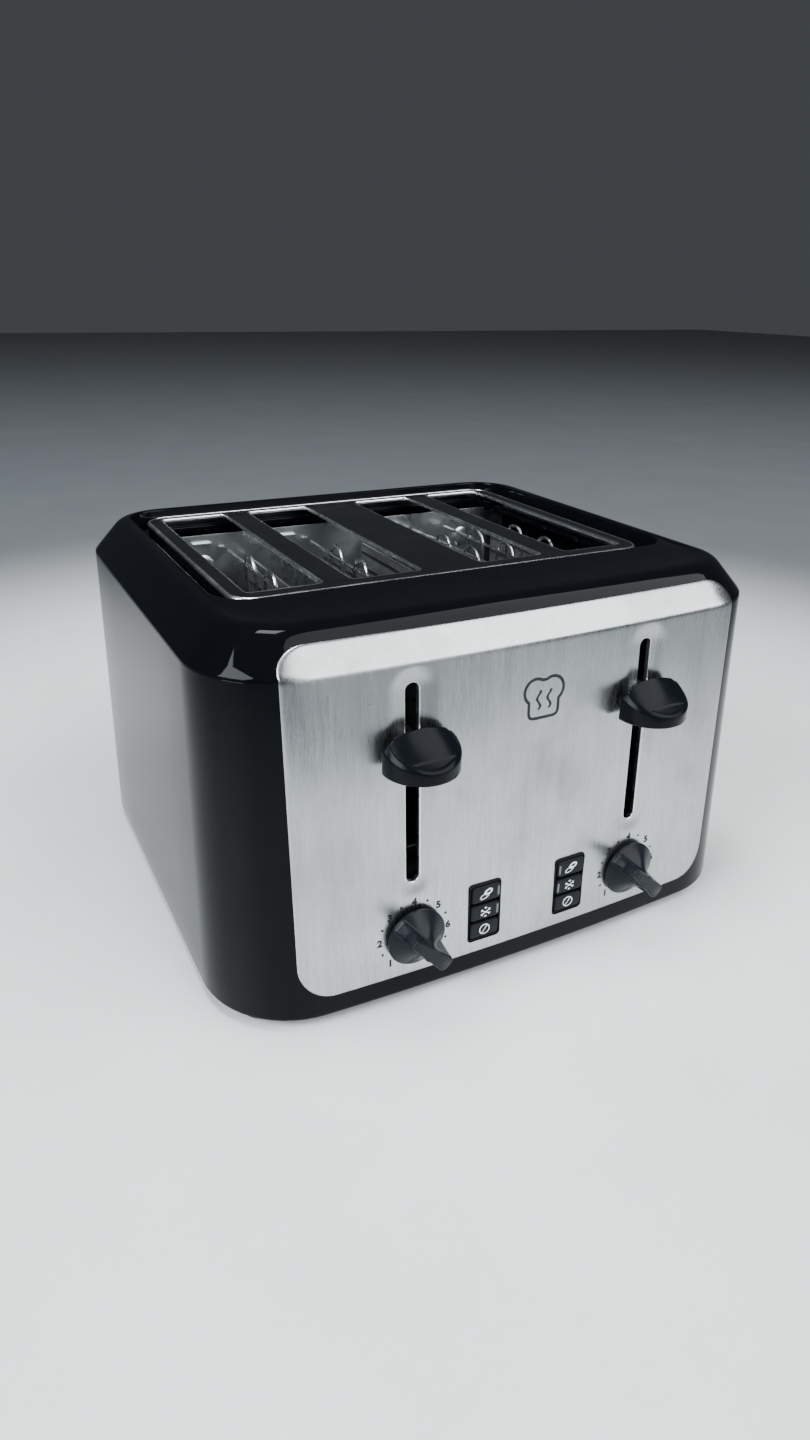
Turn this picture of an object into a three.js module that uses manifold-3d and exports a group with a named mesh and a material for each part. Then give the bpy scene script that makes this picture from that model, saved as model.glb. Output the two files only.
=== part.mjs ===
// Four-slice pop-up toaster with two independent sides, modelled as it comes apart on a bench.
// Millimetres, +Z up, front towards -Y.  While the pieces are made, x = 0 is the middle of the
// toaster, y = 0 is the foot of its front and z = 0 is the worktop; the outermost group then moves
// the whole toaster so that the origin is at the bottom centre of its outline.
import * as THREE from 'three';
import { mergeVertices } from 'three/addons/utils/BufferGeometryUtils.js';
import Module from 'manifold-3d';

const wasm = await Module();
wasm.setup();

// ---------- driving dimensions ----------
const GAP = 0.3; // clearance between pieces that touch
const SHELL_BOTTOM = 5.5;
const CREASE_HEIGHT = 160.1; // where the walls lean inwards
const CHAMFER_TOP = 172.3;
const TOASTER_TOP = 175.4;
const CHAMFER_INSET = 11.1;
const CREST_INSET = 17.0;
const BASE_HALF_WIDTH = 141.8;
const BODY_DEPTH = 259;
const SIDE_DRAFT = 0.0273; // each side wall leans in by this much per millimetre of height
const FRONT_DRAFT = 0.049;
const FRONT_BOW = 5.2; // how far the front falls back at BOW_REACH from its middle
const BOW_REACH = 143;
const CORNER_RADIUS_BASE = 44;
const CORNER_RADIUS_CREASE = 40;
const WALL = 2.5;

const PANEL_HALF_WIDTH = 111.3;
const PANEL_BOTTOM = 15.2;
const PANEL_TOP = 170.0;
const PANEL_PROUD = 0.5;
const PANEL_BACK = -0.3;
const PANEL_RECESS = -0.6;

const SLOT_WIDTH = 35;
const SLOT_FRONT = 81;
const SLOT_BACK = 225;
const SLOT_CENTRES = [-82.25, -33.25, 33.25, 82.25];
const PLATE_HALF_WIDTH = 108.3;
const PLATE_FRONT = 71.5;
const PLATE_BACK = 231.5;
const PLATE_FACE = 172.0;
const PLATE_RIM = 173.0;
const WELL_HALF_WIDTH = 116.5;
const WELL_FRONT = 63;
const WELL_BACK = 235;
const WELL_FLOOR = 165.5;

const LEVER_X = 58.3;
const LEVER_SLOT_WIDTH = 6;
const LEVER_SLOT_BOTTOM = 61;
const LEVER_SLOT_TOP = 151;
const LEVER_HEIGHT = 126; // middle of the stem at rest
const KNOB_RADIUS = 16.3;
const KNOB_CENTRE_Y = 1.3;
const KNOB_BACK_Y = 2.4;
const KNOB_BOTTOM = 117.7;
const KNOB_TOP = 134.9;
const KNOB_LIP = 123; // height of the thumb face where it meets the front
const KNOB_CROWN = 23; // radius that the top is rounded to, from side to side

const DIAL_X = 58.4;
const DIAL_HEIGHT = 35.3;
const DIAL_RADIUS = 13.8;
const DIAL_BACK_Y = 0.9;
const DIAL_FRONT_Y = -14;

const BUTTONS_X = 23.2;
const BUTTONS_WIDTH = 17.2;
const BUTTONS_BOTTOM = 21.1;
const BUTTONS_TOP = 51.7;
const BUTTON_NAMES = ['bagel', 'frozen', 'cancel'];

const BULKHEAD_FRONT_Y = 77;
const BULKHEAD_REAR_Y = 210;
const BULKHEAD_THICKNESS = 1;
const HEATER_XS = [-103, -57.75, -12.5, 12.5, 57.75, 103];
const GUIDE_OFFSET = 13.6; // wire guide to the middle of its slot
const WIRE_RADIUS = 0.9;
const GUIDE_PIVOT_Z = 42;
const GUIDE_ROD_Z = 156;
const RACK_Z = 94;
const TRAY_INNER_X = 6;
const TRAY_OUTER_X = 84;
const TRAY_Z = 16;

const FOOT_X = 121;
const FOOT_FRONT_Y = 27;
const FOOT_REAR_Y = 230;
const FOOT_HEIGHT = 6.2;

const CORD_WIDTH = 7;
const CORD_THICKNESS = 4;
const CORD_REST_Z = 2.1; // middle of a cord that lies on the worktop
const CORD_LAYER = 4.2; // rise from one layer of the coil to the next
const EXIT_X = -92;
const EXIT_Z = 15.5;
const BOOT_END_Y = 281;
const COIL_CENTRE = [-38, 328];
const COIL_OUTER = 43.5; // middle of the outermost turn
const COIL_INNER = 36.9;
const COIL_ENTRY = 54; // distance from the coil's middle to the lead that comes to it

// ---------- materials ----------
const finish = (color, roughness, metalness = 0) =>
  new THREE.MeshStandardMaterial({ color, roughness, metalness });
const GLOSS_BLACK = finish(0x0a0c0f, 0.12);
const SATIN_BLACK = finish(0x15181c, 0.4);
const MATTE_BLACK = finish(0x101214, 0.75);
const BRUSHED_STEEL = finish(0xb4b7b8, 0.38, 1);
const DARK_STEEL = finish(0x6e7276, 0.22, 1);
const BRIGHT_SHEET = finish(0xc4c8c8, 0.3, 1);
const WIRE_STEEL = finish(0x9a9b9c, 0.25, 1);
const MICA = finish(0x8a7f6c, 0.7);
const RUBBER = finish(0x0c0c0d, 0.9);
const BOARD_GREEN = finish(0x1f4a2c, 0.6);
const COPPER = finish(0x9a5a30, 0.4, 1);

// ---------- tools for shapes ----------
function solid(geometry) {
  const plain = geometry.index ? geometry.toNonIndexed() : geometry.clone();
  plain.deleteAttribute('normal');
  plain.deleteAttribute('uv');
  const merged = mergeVertices(plain, 1e-4);
  const mesh = new wasm.Mesh({
    numProp: 3,
    vertProperties: new Float32Array(merged.attributes.position.array),
    triVerts: new Uint32Array(merged.index.array),
  });
  return new wasm.Manifold(mesh);
}

function geometryOf(manifold) {
  const { vertProperties, triVerts } = manifold.getMesh();
  const geometry = new THREE.BufferGeometry();
  geometry.setAttribute('position', new THREE.BufferAttribute(vertProperties, 3));
  geometry.setIndex(new THREE.BufferAttribute(triVerts, 1));
  geometry.computeVertexNormals();
  return geometry;
}

const toaster = new THREE.Group();

function add(name, shape, material) {
  const geometry = shape.isBufferGeometry ? shape : geometryOf(shape);
  const mesh = new THREE.Mesh(geometry, material);
  mesh.name = name;
  toaster.add(mesh);
  return mesh;
}

// A box between two opposite corners.
function box(x0, y0, z0, x1, y1, z1) {
  const geometry = new THREE.BoxGeometry(x1 - x0, y1 - y0, z1 - z0);
  return solid(geometry.translate((x0 + x1) / 2, (y0 + y1) / 2, (z0 + z1) / 2));
}

// A cylinder or cone whose axis runs along Z, Y or X.
function cylinderZ(x, y, z0, z1, radius, topRadius = radius, sides = 20) {
  const geometry = new THREE.CylinderGeometry(topRadius, radius, z1 - z0, sides);
  return solid(geometry.rotateX(Math.PI / 2).translate(x, y, (z0 + z1) / 2));
}

function cylinderY(x, y0, y1, z, radius, backRadius = radius, sides = 20) {
  const geometry = new THREE.CylinderGeometry(backRadius, radius, y1 - y0, sides);
  return solid(geometry.translate(x, (y0 + y1) / 2, z));
}

// A rectangle with rounded corners, as a flat shape.
function roundedRectangle(x0, y0, x1, y1, r, ry = r) {
  const shape = new THREE.Shape();
  const quarter = Math.PI / 2;
  shape.absellipse(x1 - r, y0 + ry, r, ry, -quarter, 0);
  shape.absellipse(x1 - r, y1 - ry, r, ry, 0, quarter);
  shape.absellipse(x0 + r, y1 - ry, r, ry, quarter, 2 * quarter);
  shape.absellipse(x0 + r, y0 + ry, r, ry, 2 * quarter, 3 * quarter);
  shape.closePath();
  return shape;
}

// A flat shape in X and Y, carried up from z0 to z1.
function prismZ(shape, z0, z1, curveSegments = 5) {
  const geometry = new THREE.ExtrudeGeometry(shape, { depth: z1 - z0, bevelEnabled: false, curveSegments });
  return solid(geometry.translate(0, 0, z0));
}

// A flat shape in X and Z, as seen from the front, carried back from y0 to y1.
function prismY(shape, y0, y1, curveSegments = 5) {
  const geometry = new THREE.ExtrudeGeometry(shape, { depth: y1 - y0, bevelEnabled: false, curveSegments });
  return solid(geometry.rotateX(Math.PI / 2).translate(0, y1, 0));
}

// The plan outline of the housing at one height: a slightly bowed front, round corners, straight
// sides and a straight back.  `inset` moves every side inwards.
function outline(z, inset = 0) {
  const walls = Math.min(z, CREASE_HEIGHT);
  const halfWidth = BASE_HALF_WIDTH - SIDE_DRAFT * walls - inset;
  const front = FRONT_DRAFT * walls + inset;
  const back = BODY_DEPTH - SIDE_DRAFT * walls - inset;
  const shrink = (CORNER_RADIUS_BASE - CORNER_RADIUS_CREASE) * (walls / CREASE_HEIGHT);
  const radius = Math.max(CORNER_RADIUS_BASE - shrink - inset, 4);
  const bow = (x) => FRONT_BOW * (x / BOW_REACH) ** 2;
  const reach = halfWidth - radius;
  const slope = Math.atan((2 * FRONT_BOW * reach) / BOW_REACH ** 2);
  const frontEnd = reach + radius * Math.sin(slope);
  const cornerY = front + bow(frontEnd) + radius * Math.cos(slope);
  const half = [];
  const frontSteps = 3;
  for (let i = 0; i < frontSteps; i += 1) {
    const x = (frontEnd * i) / frontSteps;
    half.push([x, front + bow(x)]);
  }
  const cornerSteps = 5;
  for (let i = 0; i <= cornerSteps; i += 1) {
    const angle = slope - Math.PI / 2 + ((Math.PI / 2 - slope) * i) / cornerSteps;
    half.push([reach + radius * Math.cos(angle), cornerY + radius * Math.sin(angle)]);
  }
  for (let i = 0; i <= cornerSteps; i += 1) {
    const angle = (Math.PI / 2) * (i / cornerSteps);
    half.push([reach + radius * Math.cos(angle), back - radius + radius * Math.sin(angle)]);
  }
  const mirrored = half.slice(1).reverse().map(([x, y]) => [-x, y]);
  return half.concat(mirrored);
}

// A closed body through a stack of outlines that all have the same number of points.
function loft(levels) {
  const count = levels[0].points.length;
  const positions = [];
  const index = [];
  for (const { z, points } of levels) {
    for (const [x, y] of points) positions.push(x, y, z);
  }
  for (let level = 0; level + 1 < levels.length; level += 1) {
    for (let i = 0; i < count; i += 1) {
      const a = level * count + i;
      const b = level * count + ((i + 1) % count);
      index.push(a, b, b + count, a, b + count, a + count);
    }
  }
  const top = (levels.length - 1) * count;
  for (let i = 1; i + 1 < count; i += 1) {
    index.push(0, i + 1, i);
    index.push(top, top + i, top + i + 1);
  }
  const geometry = new THREE.BufferGeometry();
  geometry.setAttribute('position', new THREE.Float32BufferAttribute(positions, 3));
  geometry.setIndex(index);
  return solid(geometry);
}

// The whole outer form of the housing from z0 up, moved outwards or inwards by a distance.
function housingForm(z0, outwards) {
  return loft([
    { z: z0, points: outline(z0, -outwards) },
    { z: CREASE_HEIGHT, points: outline(CREASE_HEIGHT, -outwards) },
    { z: CHAMFER_TOP + 0.6 * outwards, points: outline(CHAMFER_TOP, CHAMFER_INSET - outwards) },
  ]);
}

// A wire or cord: a section with the given number of sides carried along a smooth curve.
function sweep(points, radius, steps, sides = 4, flatness = 1) {
  const vectors = points.map(([x, y, z]) => new THREE.Vector3(x, y, z));
  const path = new THREE.CatmullRomCurve3(vectors, false, 'centripetal');
  const section = new THREE.Shape();
  for (let i = 0; i < sides; i += 1) {
    const angle = ((i + 0.5) / sides) * 2 * Math.PI;
    const x = radius * Math.cos(angle);
    const y = radius * flatness * Math.sin(angle);
    if (i === 0) section.moveTo(x, y);
    else section.lineTo(x, y);
  }
  section.closePath();
  const options = { steps, extrudePath: path, bevelEnabled: false };
  return solid(new THREE.ExtrudeGeometry(section, options));
}

const frontFaceY = (x, z) => FRONT_DRAFT * z + FRONT_BOW * (x / BOW_REACH) ** 2;

// ---------- openings that several pieces share ----------
const PANEL_FRONT_Y = -8;
const PANEL_REAR_Y = 40;

function panelShape(margin) {
  const shape = new THREE.Shape();
  const x = PANEL_HALF_WIDTH + margin;
  const z0 = PANEL_BOTTOM - margin;
  const z1 = PANEL_TOP + margin;
  const low = 17;
  const wide = 13;
  const tall = 9.6;
  const quarter = Math.PI / 2;
  shape.absellipse(x - low, z0 + low, low, low, -quarter, 0);
  shape.absellipse(x - wide, z1 - tall, wide, tall, 0, quarter);
  shape.absellipse(-x + wide, z1 - tall, wide, tall, quarter, 2 * quarter);
  shape.absellipse(-x + low, z0 + low, low, low, 2 * quarter, 3 * quarter);
  shape.closePath();
  return shape;
}

function leverSlot(x, margin) {
  const half = LEVER_SLOT_WIDTH / 2 + margin;
  const shape = roundedRectangle(x - half, LEVER_SLOT_BOTTOM - margin, x + half, LEVER_SLOT_TOP + margin, half - 0.01);
  return prismY(shape, PANEL_FRONT_Y, PANEL_REAR_Y, 4);
}

function buttonWindow(side, margin) {
  const half = BUTTONS_WIDTH / 2 + margin;
  const x = side * BUTTONS_X;
  const shape = roundedRectangle(x - half, BUTTONS_BOTTOM - margin, x + half, BUTTONS_TOP + margin, 2.2 + margin);
  return prismY(shape, PANEL_FRONT_Y, PANEL_REAR_Y, 2);
}

function cutFrontOpenings(piece, margin) {
  let cut = piece;
  for (const side of [-1, 1]) {
    cut = cut.subtract(leverSlot(side * LEVER_X, margin));
    cut = cut.subtract(buttonWindow(side, margin));
    cut = cut.subtract(cylinderY(side * DIAL_X, PANEL_FRONT_Y, PANEL_REAR_Y, DIAL_HEIGHT, 4.5 + margin, 4.5 + margin, 12));
  }
  return cut;
}

// ---------- housing ----------
function makeHousing() {
  const panelSeat = prismY(panelShape(GAP), PANEL_FRONT_Y, PANEL_REAR_Y).subtract(housingForm(0, PANEL_RECESS));
  const seamZ = CREASE_HEIGHT - GAP;
  const outer = loft([
    { z: SHELL_BOTTOM, points: outline(SHELL_BOTTOM) },
    { z: seamZ, points: outline(seamZ) },
  ]);
  const hollow = loft([
    { z: SHELL_BOTTOM - 1, points: outline(SHELL_BOTTOM, WALL) },
    { z: seamZ + 1, points: outline(seamZ, WALL) },
  ]);
  let shell = outer.subtract(hollow).subtract(panelSeat);
  shell = cutFrontOpenings(shell, 1);
  for (const side of [-1, 1]) {
    const x0 = side < 0 ? -TRAY_OUTER_X - 1 : TRAY_INNER_X - 1;
    const x1 = x0 + TRAY_OUTER_X - TRAY_INNER_X + 2;
    shell = shell.subtract(box(x0, BODY_DEPTH - 20, TRAY_Z - 1, x1, BODY_DEPTH + 5, TRAY_Z + 9));
  }
  shell = shell.subtract(cylinderY(EXIT_X, BODY_DEPTH - 20, BODY_DEPTH + 5, EXIT_Z, 5.5));
  add('body_shell', shell, GLOSS_BLACK);

  // Top ring: chamfer, crest and the well that the slot plate stands in.
  const ringForm = loft([
    { z: CREASE_HEIGHT, points: outline(CREASE_HEIGHT) },
    { z: CHAMFER_TOP, points: outline(CHAMFER_TOP, CHAMFER_INSET) },
    { z: CHAMFER_TOP + 1.9, points: outline(CHAMFER_TOP, CHAMFER_INSET + 2) },
    { z: TOASTER_TOP, points: outline(CHAMFER_TOP, CREST_INSET) },
  ]);
  const ringHollow = loft([
    { z: CREASE_HEIGHT - 1, points: outline(CREASE_HEIGHT, WALL) },
    { z: WELL_FLOOR - 2.5, points: outline(CREASE_HEIGHT, WALL + 2.2) },
  ]);
  const well = roundedRectangle(-WELL_HALF_WIDTH, WELL_FRONT, WELL_HALF_WIDTH, WELL_BACK, 16);
  const ledge = 4;
  const throat = roundedRectangle(
    -PLATE_HALF_WIDTH + ledge,
    PLATE_FRONT + ledge,
    PLATE_HALF_WIDTH - ledge,
    PLATE_BACK - ledge,
    8,
  );
  const brow = box(-95, 27, CREASE_HEIGHT, 95, WELL_FRONT - 3, TOASTER_TOP - WALL);
  const ring = ringForm
    .subtract(ringHollow)
    .subtract(prismZ(well, WELL_FLOOR, TOASTER_TOP + 2))
    .subtract(prismZ(throat, CREASE_HEIGHT - 2, TOASTER_TOP))
    .subtract(brow)
    .subtract(panelSeat);
  add('top_bezel', ring, GLOSS_BLACK);

  const base = prismZ(baseShape(), SHELL_BOTTOM + 1, SHELL_BOTTOM + 4);
  add('base_plate', base, MATTE_BLACK);

  let panel = housingForm(PANEL_BOTTOM - 4, PANEL_PROUD).subtract(housingForm(PANEL_BOTTOM - 6, PANEL_BACK));
  panel = panel.intersect(prismY(panelShape(0), PANEL_FRONT_Y, PANEL_REAR_Y, 6));
  add('front_panel', cutFrontOpenings(panel, 0), BRUSHED_STEEL);
}

function baseShape() {
  const points = outline(SHELL_BOTTOM, WALL + 0.6);
  const shape = new THREE.Shape(points.map(([x, y]) => new THREE.Vector2(x, y)));
  return shape;
}

// ---------- slot plate ----------
function makeSlotPlate() {
  const rectangle = (inset, radius) =>
    roundedRectangle(
      -PLATE_HALF_WIDTH + inset,
      PLATE_FRONT + inset,
      PLATE_HALF_WIDTH - inset,
      PLATE_BACK - inset,
      radius,
    );
  const skirtBottom = WELL_FLOOR + GAP;
  let plate = prismZ(rectangle(0, 12), skirtBottom, PLATE_RIM);
  plate = plate.subtract(prismZ(rectangle(1.2, 10.8), skirtBottom - 1, PLATE_FACE - 1.2));
  plate = plate.subtract(prismZ(rectangle(2.6, 9.4), PLATE_FACE, PLATE_RIM + 1));
  for (const x of SLOT_CENTRES) {
    const half = SLOT_WIDTH / 2;
    const collar = roundedRectangle(x - half - 0.8, SLOT_FRONT - 0.8, x + half + 0.8, SLOT_BACK + 0.8, 3.3);
    const mouth = roundedRectangle(x - half, SLOT_FRONT, x + half, SLOT_BACK, 2.5);
    plate = plate.add(prismZ(collar, skirtBottom + 1, PLATE_FACE - 0.5, 3));
    plate = plate.subtract(prismZ(mouth, skirtBottom - 2, PLATE_RIM + 2, 3));
  }
  add('slot_plate', plate, DARK_STEEL);
}

// ---------- toasting chamber ----------
const BULKHEAD_HALF_WIDTH = 113;
const BULKHEAD_BOTTOM = 26;
const BULKHEAD_SHOULDER = 162.6;
const BULKHEAD_TOP = 164.9;
const BULKHEAD_CROWN_HALF_WIDTH = 99;

// An upright sheet across the toaster, a little taller where it stands in the ring's throat.
function bulkheadSheet(y) {
  const rear = y + BULKHEAD_THICKNESS;
  const sheet = box(-BULKHEAD_HALF_WIDTH, y, BULKHEAD_BOTTOM, BULKHEAD_HALF_WIDTH, rear, BULKHEAD_SHOULDER);
  const crownX = BULKHEAD_CROWN_HALF_WIDTH;
  return sheet.add(box(-crownX, y, BULKHEAD_SHOULDER - 1, crownX, rear, BULKHEAD_TOP));
}

function makeBulkheads() {
  const slitTop = 128;
  let front = bulkheadSheet(BULKHEAD_FRONT_Y);
  for (const x of SLOT_CENTRES) {
    front = front.subtract(box(x - 4.5, BULKHEAD_FRONT_Y - 5, 30, x + 4.5, BULKHEAD_FRONT_Y + 5, slitTop));
  }
  add('front_bulkhead', front, BRIGHT_SHEET);
  add('rear_bulkhead', bulkheadSheet(BULKHEAD_REAR_Y), BRIGHT_SHEET);
}

function makeHeaters() {
  HEATER_XS.forEach((x, i) => {
    const card = box(x - 0.6, BULKHEAD_FRONT_Y + 4, 34, x + 0.6, BULKHEAD_REAR_Y - 4, 152);
    add(`heater_card_${i + 1}`, card, MICA);
  });
}

// A wire guide: a pivot rod low down, a rod across near the top, and hoops that join them.
function guideWire(x) {
  const y0 = BULKHEAD_FRONT_Y + 3;
  const y1 = BULKHEAD_REAR_Y - 3;
  const rod = (z) => box(x - WIRE_RADIUS, y0, z - WIRE_RADIUS, x + WIRE_RADIUS, y1, z + WIRE_RADIUS);
  let guide = rod(GUIDE_PIVOT_Z).add(rod(GUIDE_ROD_Z));
  const hoopTop = 164;
  const hoopHalf = 11;
  for (const y of [108, 139, 170]) {
    const points = [];
    points.push([x, y - hoopHalf, GUIDE_PIVOT_Z]);
    const turns = 4;
    for (let i = 0; i <= turns; i += 1) {
      const angle = Math.PI * (1 - i / turns);
      points.push([x, y + hoopHalf * Math.cos(angle), hoopTop - hoopHalf + hoopHalf * Math.sin(angle)]);
    }
    points.push([x, y + hoopHalf, GUIDE_PIVOT_Z]);
    guide = guide.add(sweep(points, WIRE_RADIUS, 11, 4));
  }
  return guide;
}

function makeGuides() {
  SLOT_CENTRES.forEach((centre, i) => {
    add(`bread_guide_${2 * i + 1}`, guideWire(centre - GUIDE_OFFSET), WIRE_STEEL);
    add(`bread_guide_${2 * i + 2}`, guideWire(centre + GUIDE_OFFSET), WIRE_STEEL);
  });
}

// ---------- lift mechanism ----------
const ROD_Y = 58;
const SPRING_X_OFFSET = 14;
const CARRIAGE_BOTTOM = 121;
const CARRIAGE_TOP = 131;

// The rack that a slice stands on: a bar with a toothed top, and a foot that reaches the carriage.
function breadRack(x) {
  const teeth = 10;
  const start = BULKHEAD_FRONT_Y + 7;
  const end = BULKHEAD_REAR_Y - 5;
  const pitch = (end - start) / teeth;
  const shape = new THREE.Shape();
  shape.moveTo(ROD_Y + 8, RACK_Z);
  shape.lineTo(end, RACK_Z);
  for (let i = teeth; i > 0; i -= 1) {
    shape.lineTo(start + pitch * i, RACK_Z + 2);
    shape.lineTo(start + pitch * (i - 0.5), RACK_Z + 5);
  }
  shape.lineTo(start, RACK_Z + 2);
  shape.lineTo(ROD_Y + 12, RACK_Z + 5);
  shape.lineTo(ROD_Y + 12, CARRIAGE_BOTTOM - GAP);
  shape.lineTo(ROD_Y + 8, CARRIAGE_BOTTOM - GAP);
  shape.closePath();
  const width = 6;
  const options = { depth: width, bevelEnabled: false };
  const geometry = new THREE.ExtrudeGeometry(shape, options);
  geometry.rotateX(Math.PI / 2).rotateZ(Math.PI / 2);
  return solid(geometry.translate(x - width / 2, 0, 0));
}

function leverKnob(x) {
  const disc = cylinderZ(x, KNOB_CENTRE_Y, KNOB_BOTTOM, KNOB_TOP, KNOB_RADIUS, KNOB_RADIUS, 36);
  const front = box(x - 30, -30, KNOB_BOTTOM - 5, x + 30, KNOB_BACK_Y, KNOB_TOP + 5);
  const crown = cylinderY(x, -30, 10, KNOB_TOP - KNOB_CROWN, KNOB_CROWN, KNOB_CROWN, 48);
  const drop = KNOB_TOP - KNOB_LIP;
  const run = KNOB_BACK_Y - KNOB_CENTRE_Y + KNOB_RADIUS;
  const aboveFace = new THREE.BoxGeometry(80, 80, 30).translate(0, 0, 15);
  aboveFace.rotateX(Math.atan2(drop, run)).translate(x, KNOB_BACK_Y, KNOB_TOP);
  return disc.intersect(front).intersect(crown).subtract(solid(aboveFace));
}

function makeLift() {
  for (const side of [-1, 1]) {
    const name = side < 0 ? 'left' : 'right';
    const x = side * LEVER_X;
    const inner = side * 33.25;
    const outer = side * 82.25;
    const lo = Math.min(inner, outer) - 4;
    const hi = Math.max(inner, outer) + 4;
    // Slider block with a cross bar at the back and a stem that passes through the front.
    let carriage = box(x - 9, ROD_Y - 8, CARRIAGE_BOTTOM, x + 9, ROD_Y + 7.5, CARRIAGE_TOP);
    carriage = carriage.add(box(lo, ROD_Y + 5, CARRIAGE_BOTTOM, hi, ROD_Y + 13, CARRIAGE_BOTTOM + 3));
    const springX = x + side * SPRING_X_OFFSET;
    const lugEnd = springX + side * 4;
    const lugLo = Math.min(x, lugEnd);
    const lugHi = Math.max(x, lugEnd);
    carriage = carriage.add(box(lugLo, ROD_Y - 4, CARRIAGE_BOTTOM, lugHi, ROD_Y + 6, CARRIAGE_BOTTOM + 3));
    carriage = carriage.subtract(cylinderZ(x, ROD_Y, CARRIAGE_BOTTOM - 2, CARRIAGE_TOP + 2, 3.4, 3.4, 16));
    const stemBack = ROD_Y - 7.5;
    carriage = carriage.add(box(x - 1.8, KNOB_BACK_Y + GAP, LEVER_HEIGHT - 4, x + 1.8, stemBack, LEVER_HEIGHT + 4));
    add(`lift_carriage_${name}`, carriage, BRIGHT_SHEET);
    add(`lever_knob_${name}`, leverKnob(x), SATIN_BLACK);
    add(`guide_rod_${name}`, cylinderZ(x, ROD_Y, 12, 158, 3, 3, 12), WIRE_STEEL);

    const coil = [];
    const turns = 6;
    const perTurn = 7;
    const springBottom = CARRIAGE_BOTTOM + 3 + GAP + 1;
    const springTop = 158;
    for (let i = 0; i <= turns * perTurn; i += 1) {
      const angle = (i / perTurn) * 2 * Math.PI;
      const z = springBottom + ((springTop - springBottom) * i) / (turns * perTurn);
      coil.push([springX + 3.2 * Math.cos(angle), ROD_Y + 3.2 * Math.sin(angle), z]);
    }
    add(`lift_spring_${name}`, sweep(coil, 0.6, turns * perTurn, 4), WIRE_STEEL);

    let magnet = box(x - 8, ROD_Y - 26, 30, x + 8, ROD_Y - 12, 50);
    magnet = magnet.add(cylinderZ(x, ROD_Y - 19, 49, 53, 4.5, 4.5, 14));
    add(`latch_magnet_${name}`, magnet, COPPER);
  }
  const rackNames = ['1', '2', '3', '4'];
  SLOT_CENTRES.forEach((x, i) => add(`bread_rack_${rackNames[i]}`, breadRack(x), WIRE_STEEL));
}

// ---------- controls ----------
// Browning dial: a flared skirt that narrows to a neck, and a bar to turn it by.
function browningDial(x) {
  const profile = [
    [0, 0],
    [DIAL_RADIUS, 0],
    [DIAL_RADIUS, 1.2],
    [12.4, 2.6],
    [10.4, 5.2],
    [8.8, 8.2],
    [8.2, 9.6],
    [0, 9.6],
  ];
  const lathe = new THREE.LatheGeometry(profile.map(([r, h]) => new THREE.Vector2(r, h)), 28);
  // The lathe turns about Y; its foot is at the panel and it grows towards -Y.
  const skirt = solid(lathe.rotateX(Math.PI).translate(x, DIAL_BACK_Y, DIAL_HEIGHT));
  // The bar lies along the falling diagonal, narrow at the end that points to the numbers.
  const barOutline = [
    // [distance along the bar from the middle, distance across it]
    [-11.8, -2.1],
    [9.4, -3.7],
    [11.4, -2.6],
    [12.2, 0],
    [11.4, 2.6],
    [9.4, 3.7],
    [-11.8, 2.1],
  ];
  const diagonal = Math.SQRT1_2;
  const toPlan = ([along, across]) =>
    new THREE.Vector2(x + diagonal * (along + across), DIAL_HEIGHT + diagonal * (across - along));
  const bar = prismY(new THREE.Shape(barOutline.map(toPlan)), DIAL_FRONT_Y, DIAL_BACK_Y - 1);
  const socket = cylinderY(x, -6, DIAL_BACK_Y + 1, DIAL_HEIGHT, 3.1, 3.1, 14);
  return skirt.add(bar).subtract(socket);
}

function makeControls() {
  const rim = 0.7;
  const keysTop = BUTTONS_TOP - GAP - rim;
  const pitch = (keysTop - BUTTONS_BOTTOM - GAP - rim) / BUTTON_NAMES.length;
  for (const side of [-1, 1]) {
    const name = side < 0 ? 'left' : 'right';
    const dialX = side * DIAL_X;
    add(`browning_dial_${name}`, browningDial(dialX), SATIN_BLACK);
    const shaft = cylinderY(dialX, -5.4, 13, DIAL_HEIGHT, 2.8, 2.8, 14);
    const pot = box(dialX - 10, 12, DIAL_HEIGHT - 9, dialX + 10, 22, DIAL_HEIGHT + 9).add(shaft);
    add(`timer_control_${name}`, pot, MATTE_BLACK);

    const x = side * BUTTONS_X;
    const faceY = frontFaceY(x, 36);
    const half = BUTTONS_WIDTH / 2 - GAP;
    const low = BUTTONS_BOTTOM + GAP;
    const frameOuter = roundedRectangle(x - half, low, x + half, BUTTONS_TOP - GAP, 2);
    const frameInner = roundedRectangle(x - half + rim, low + rim, x + half - rim, keysTop, 1.3);
    const frame = prismY(frameOuter, faceY - 0.8, 13).subtract(prismY(frameInner, faceY - 3, 16));
    add(`button_frame_${name}`, frame, MATTE_BLACK);
    BUTTON_NAMES.forEach((word, i) => {
      const z1 = keysTop - GAP - i * pitch;
      const z0 = z1 - pitch + 2 * GAP;
      const keyShape = roundedRectangle(x - half + rim + GAP, z0, x + half - rim - GAP, z1, 0.8);
      const key = prismY(keyShape, faceY - 1.6, 9, 2);
      const stem = box(x - 2, 8, (z0 + z1) / 2 - 2, x + 2, 16, (z0 + z1) / 2 + 2);
      add(`${word}_button_${name}`, key.add(stem), MATTE_BLACK);
    });
  }
  add('control_board', box(-46, 20, 16, 46, 21.6, 56), BOARD_GREEN);
}

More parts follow.
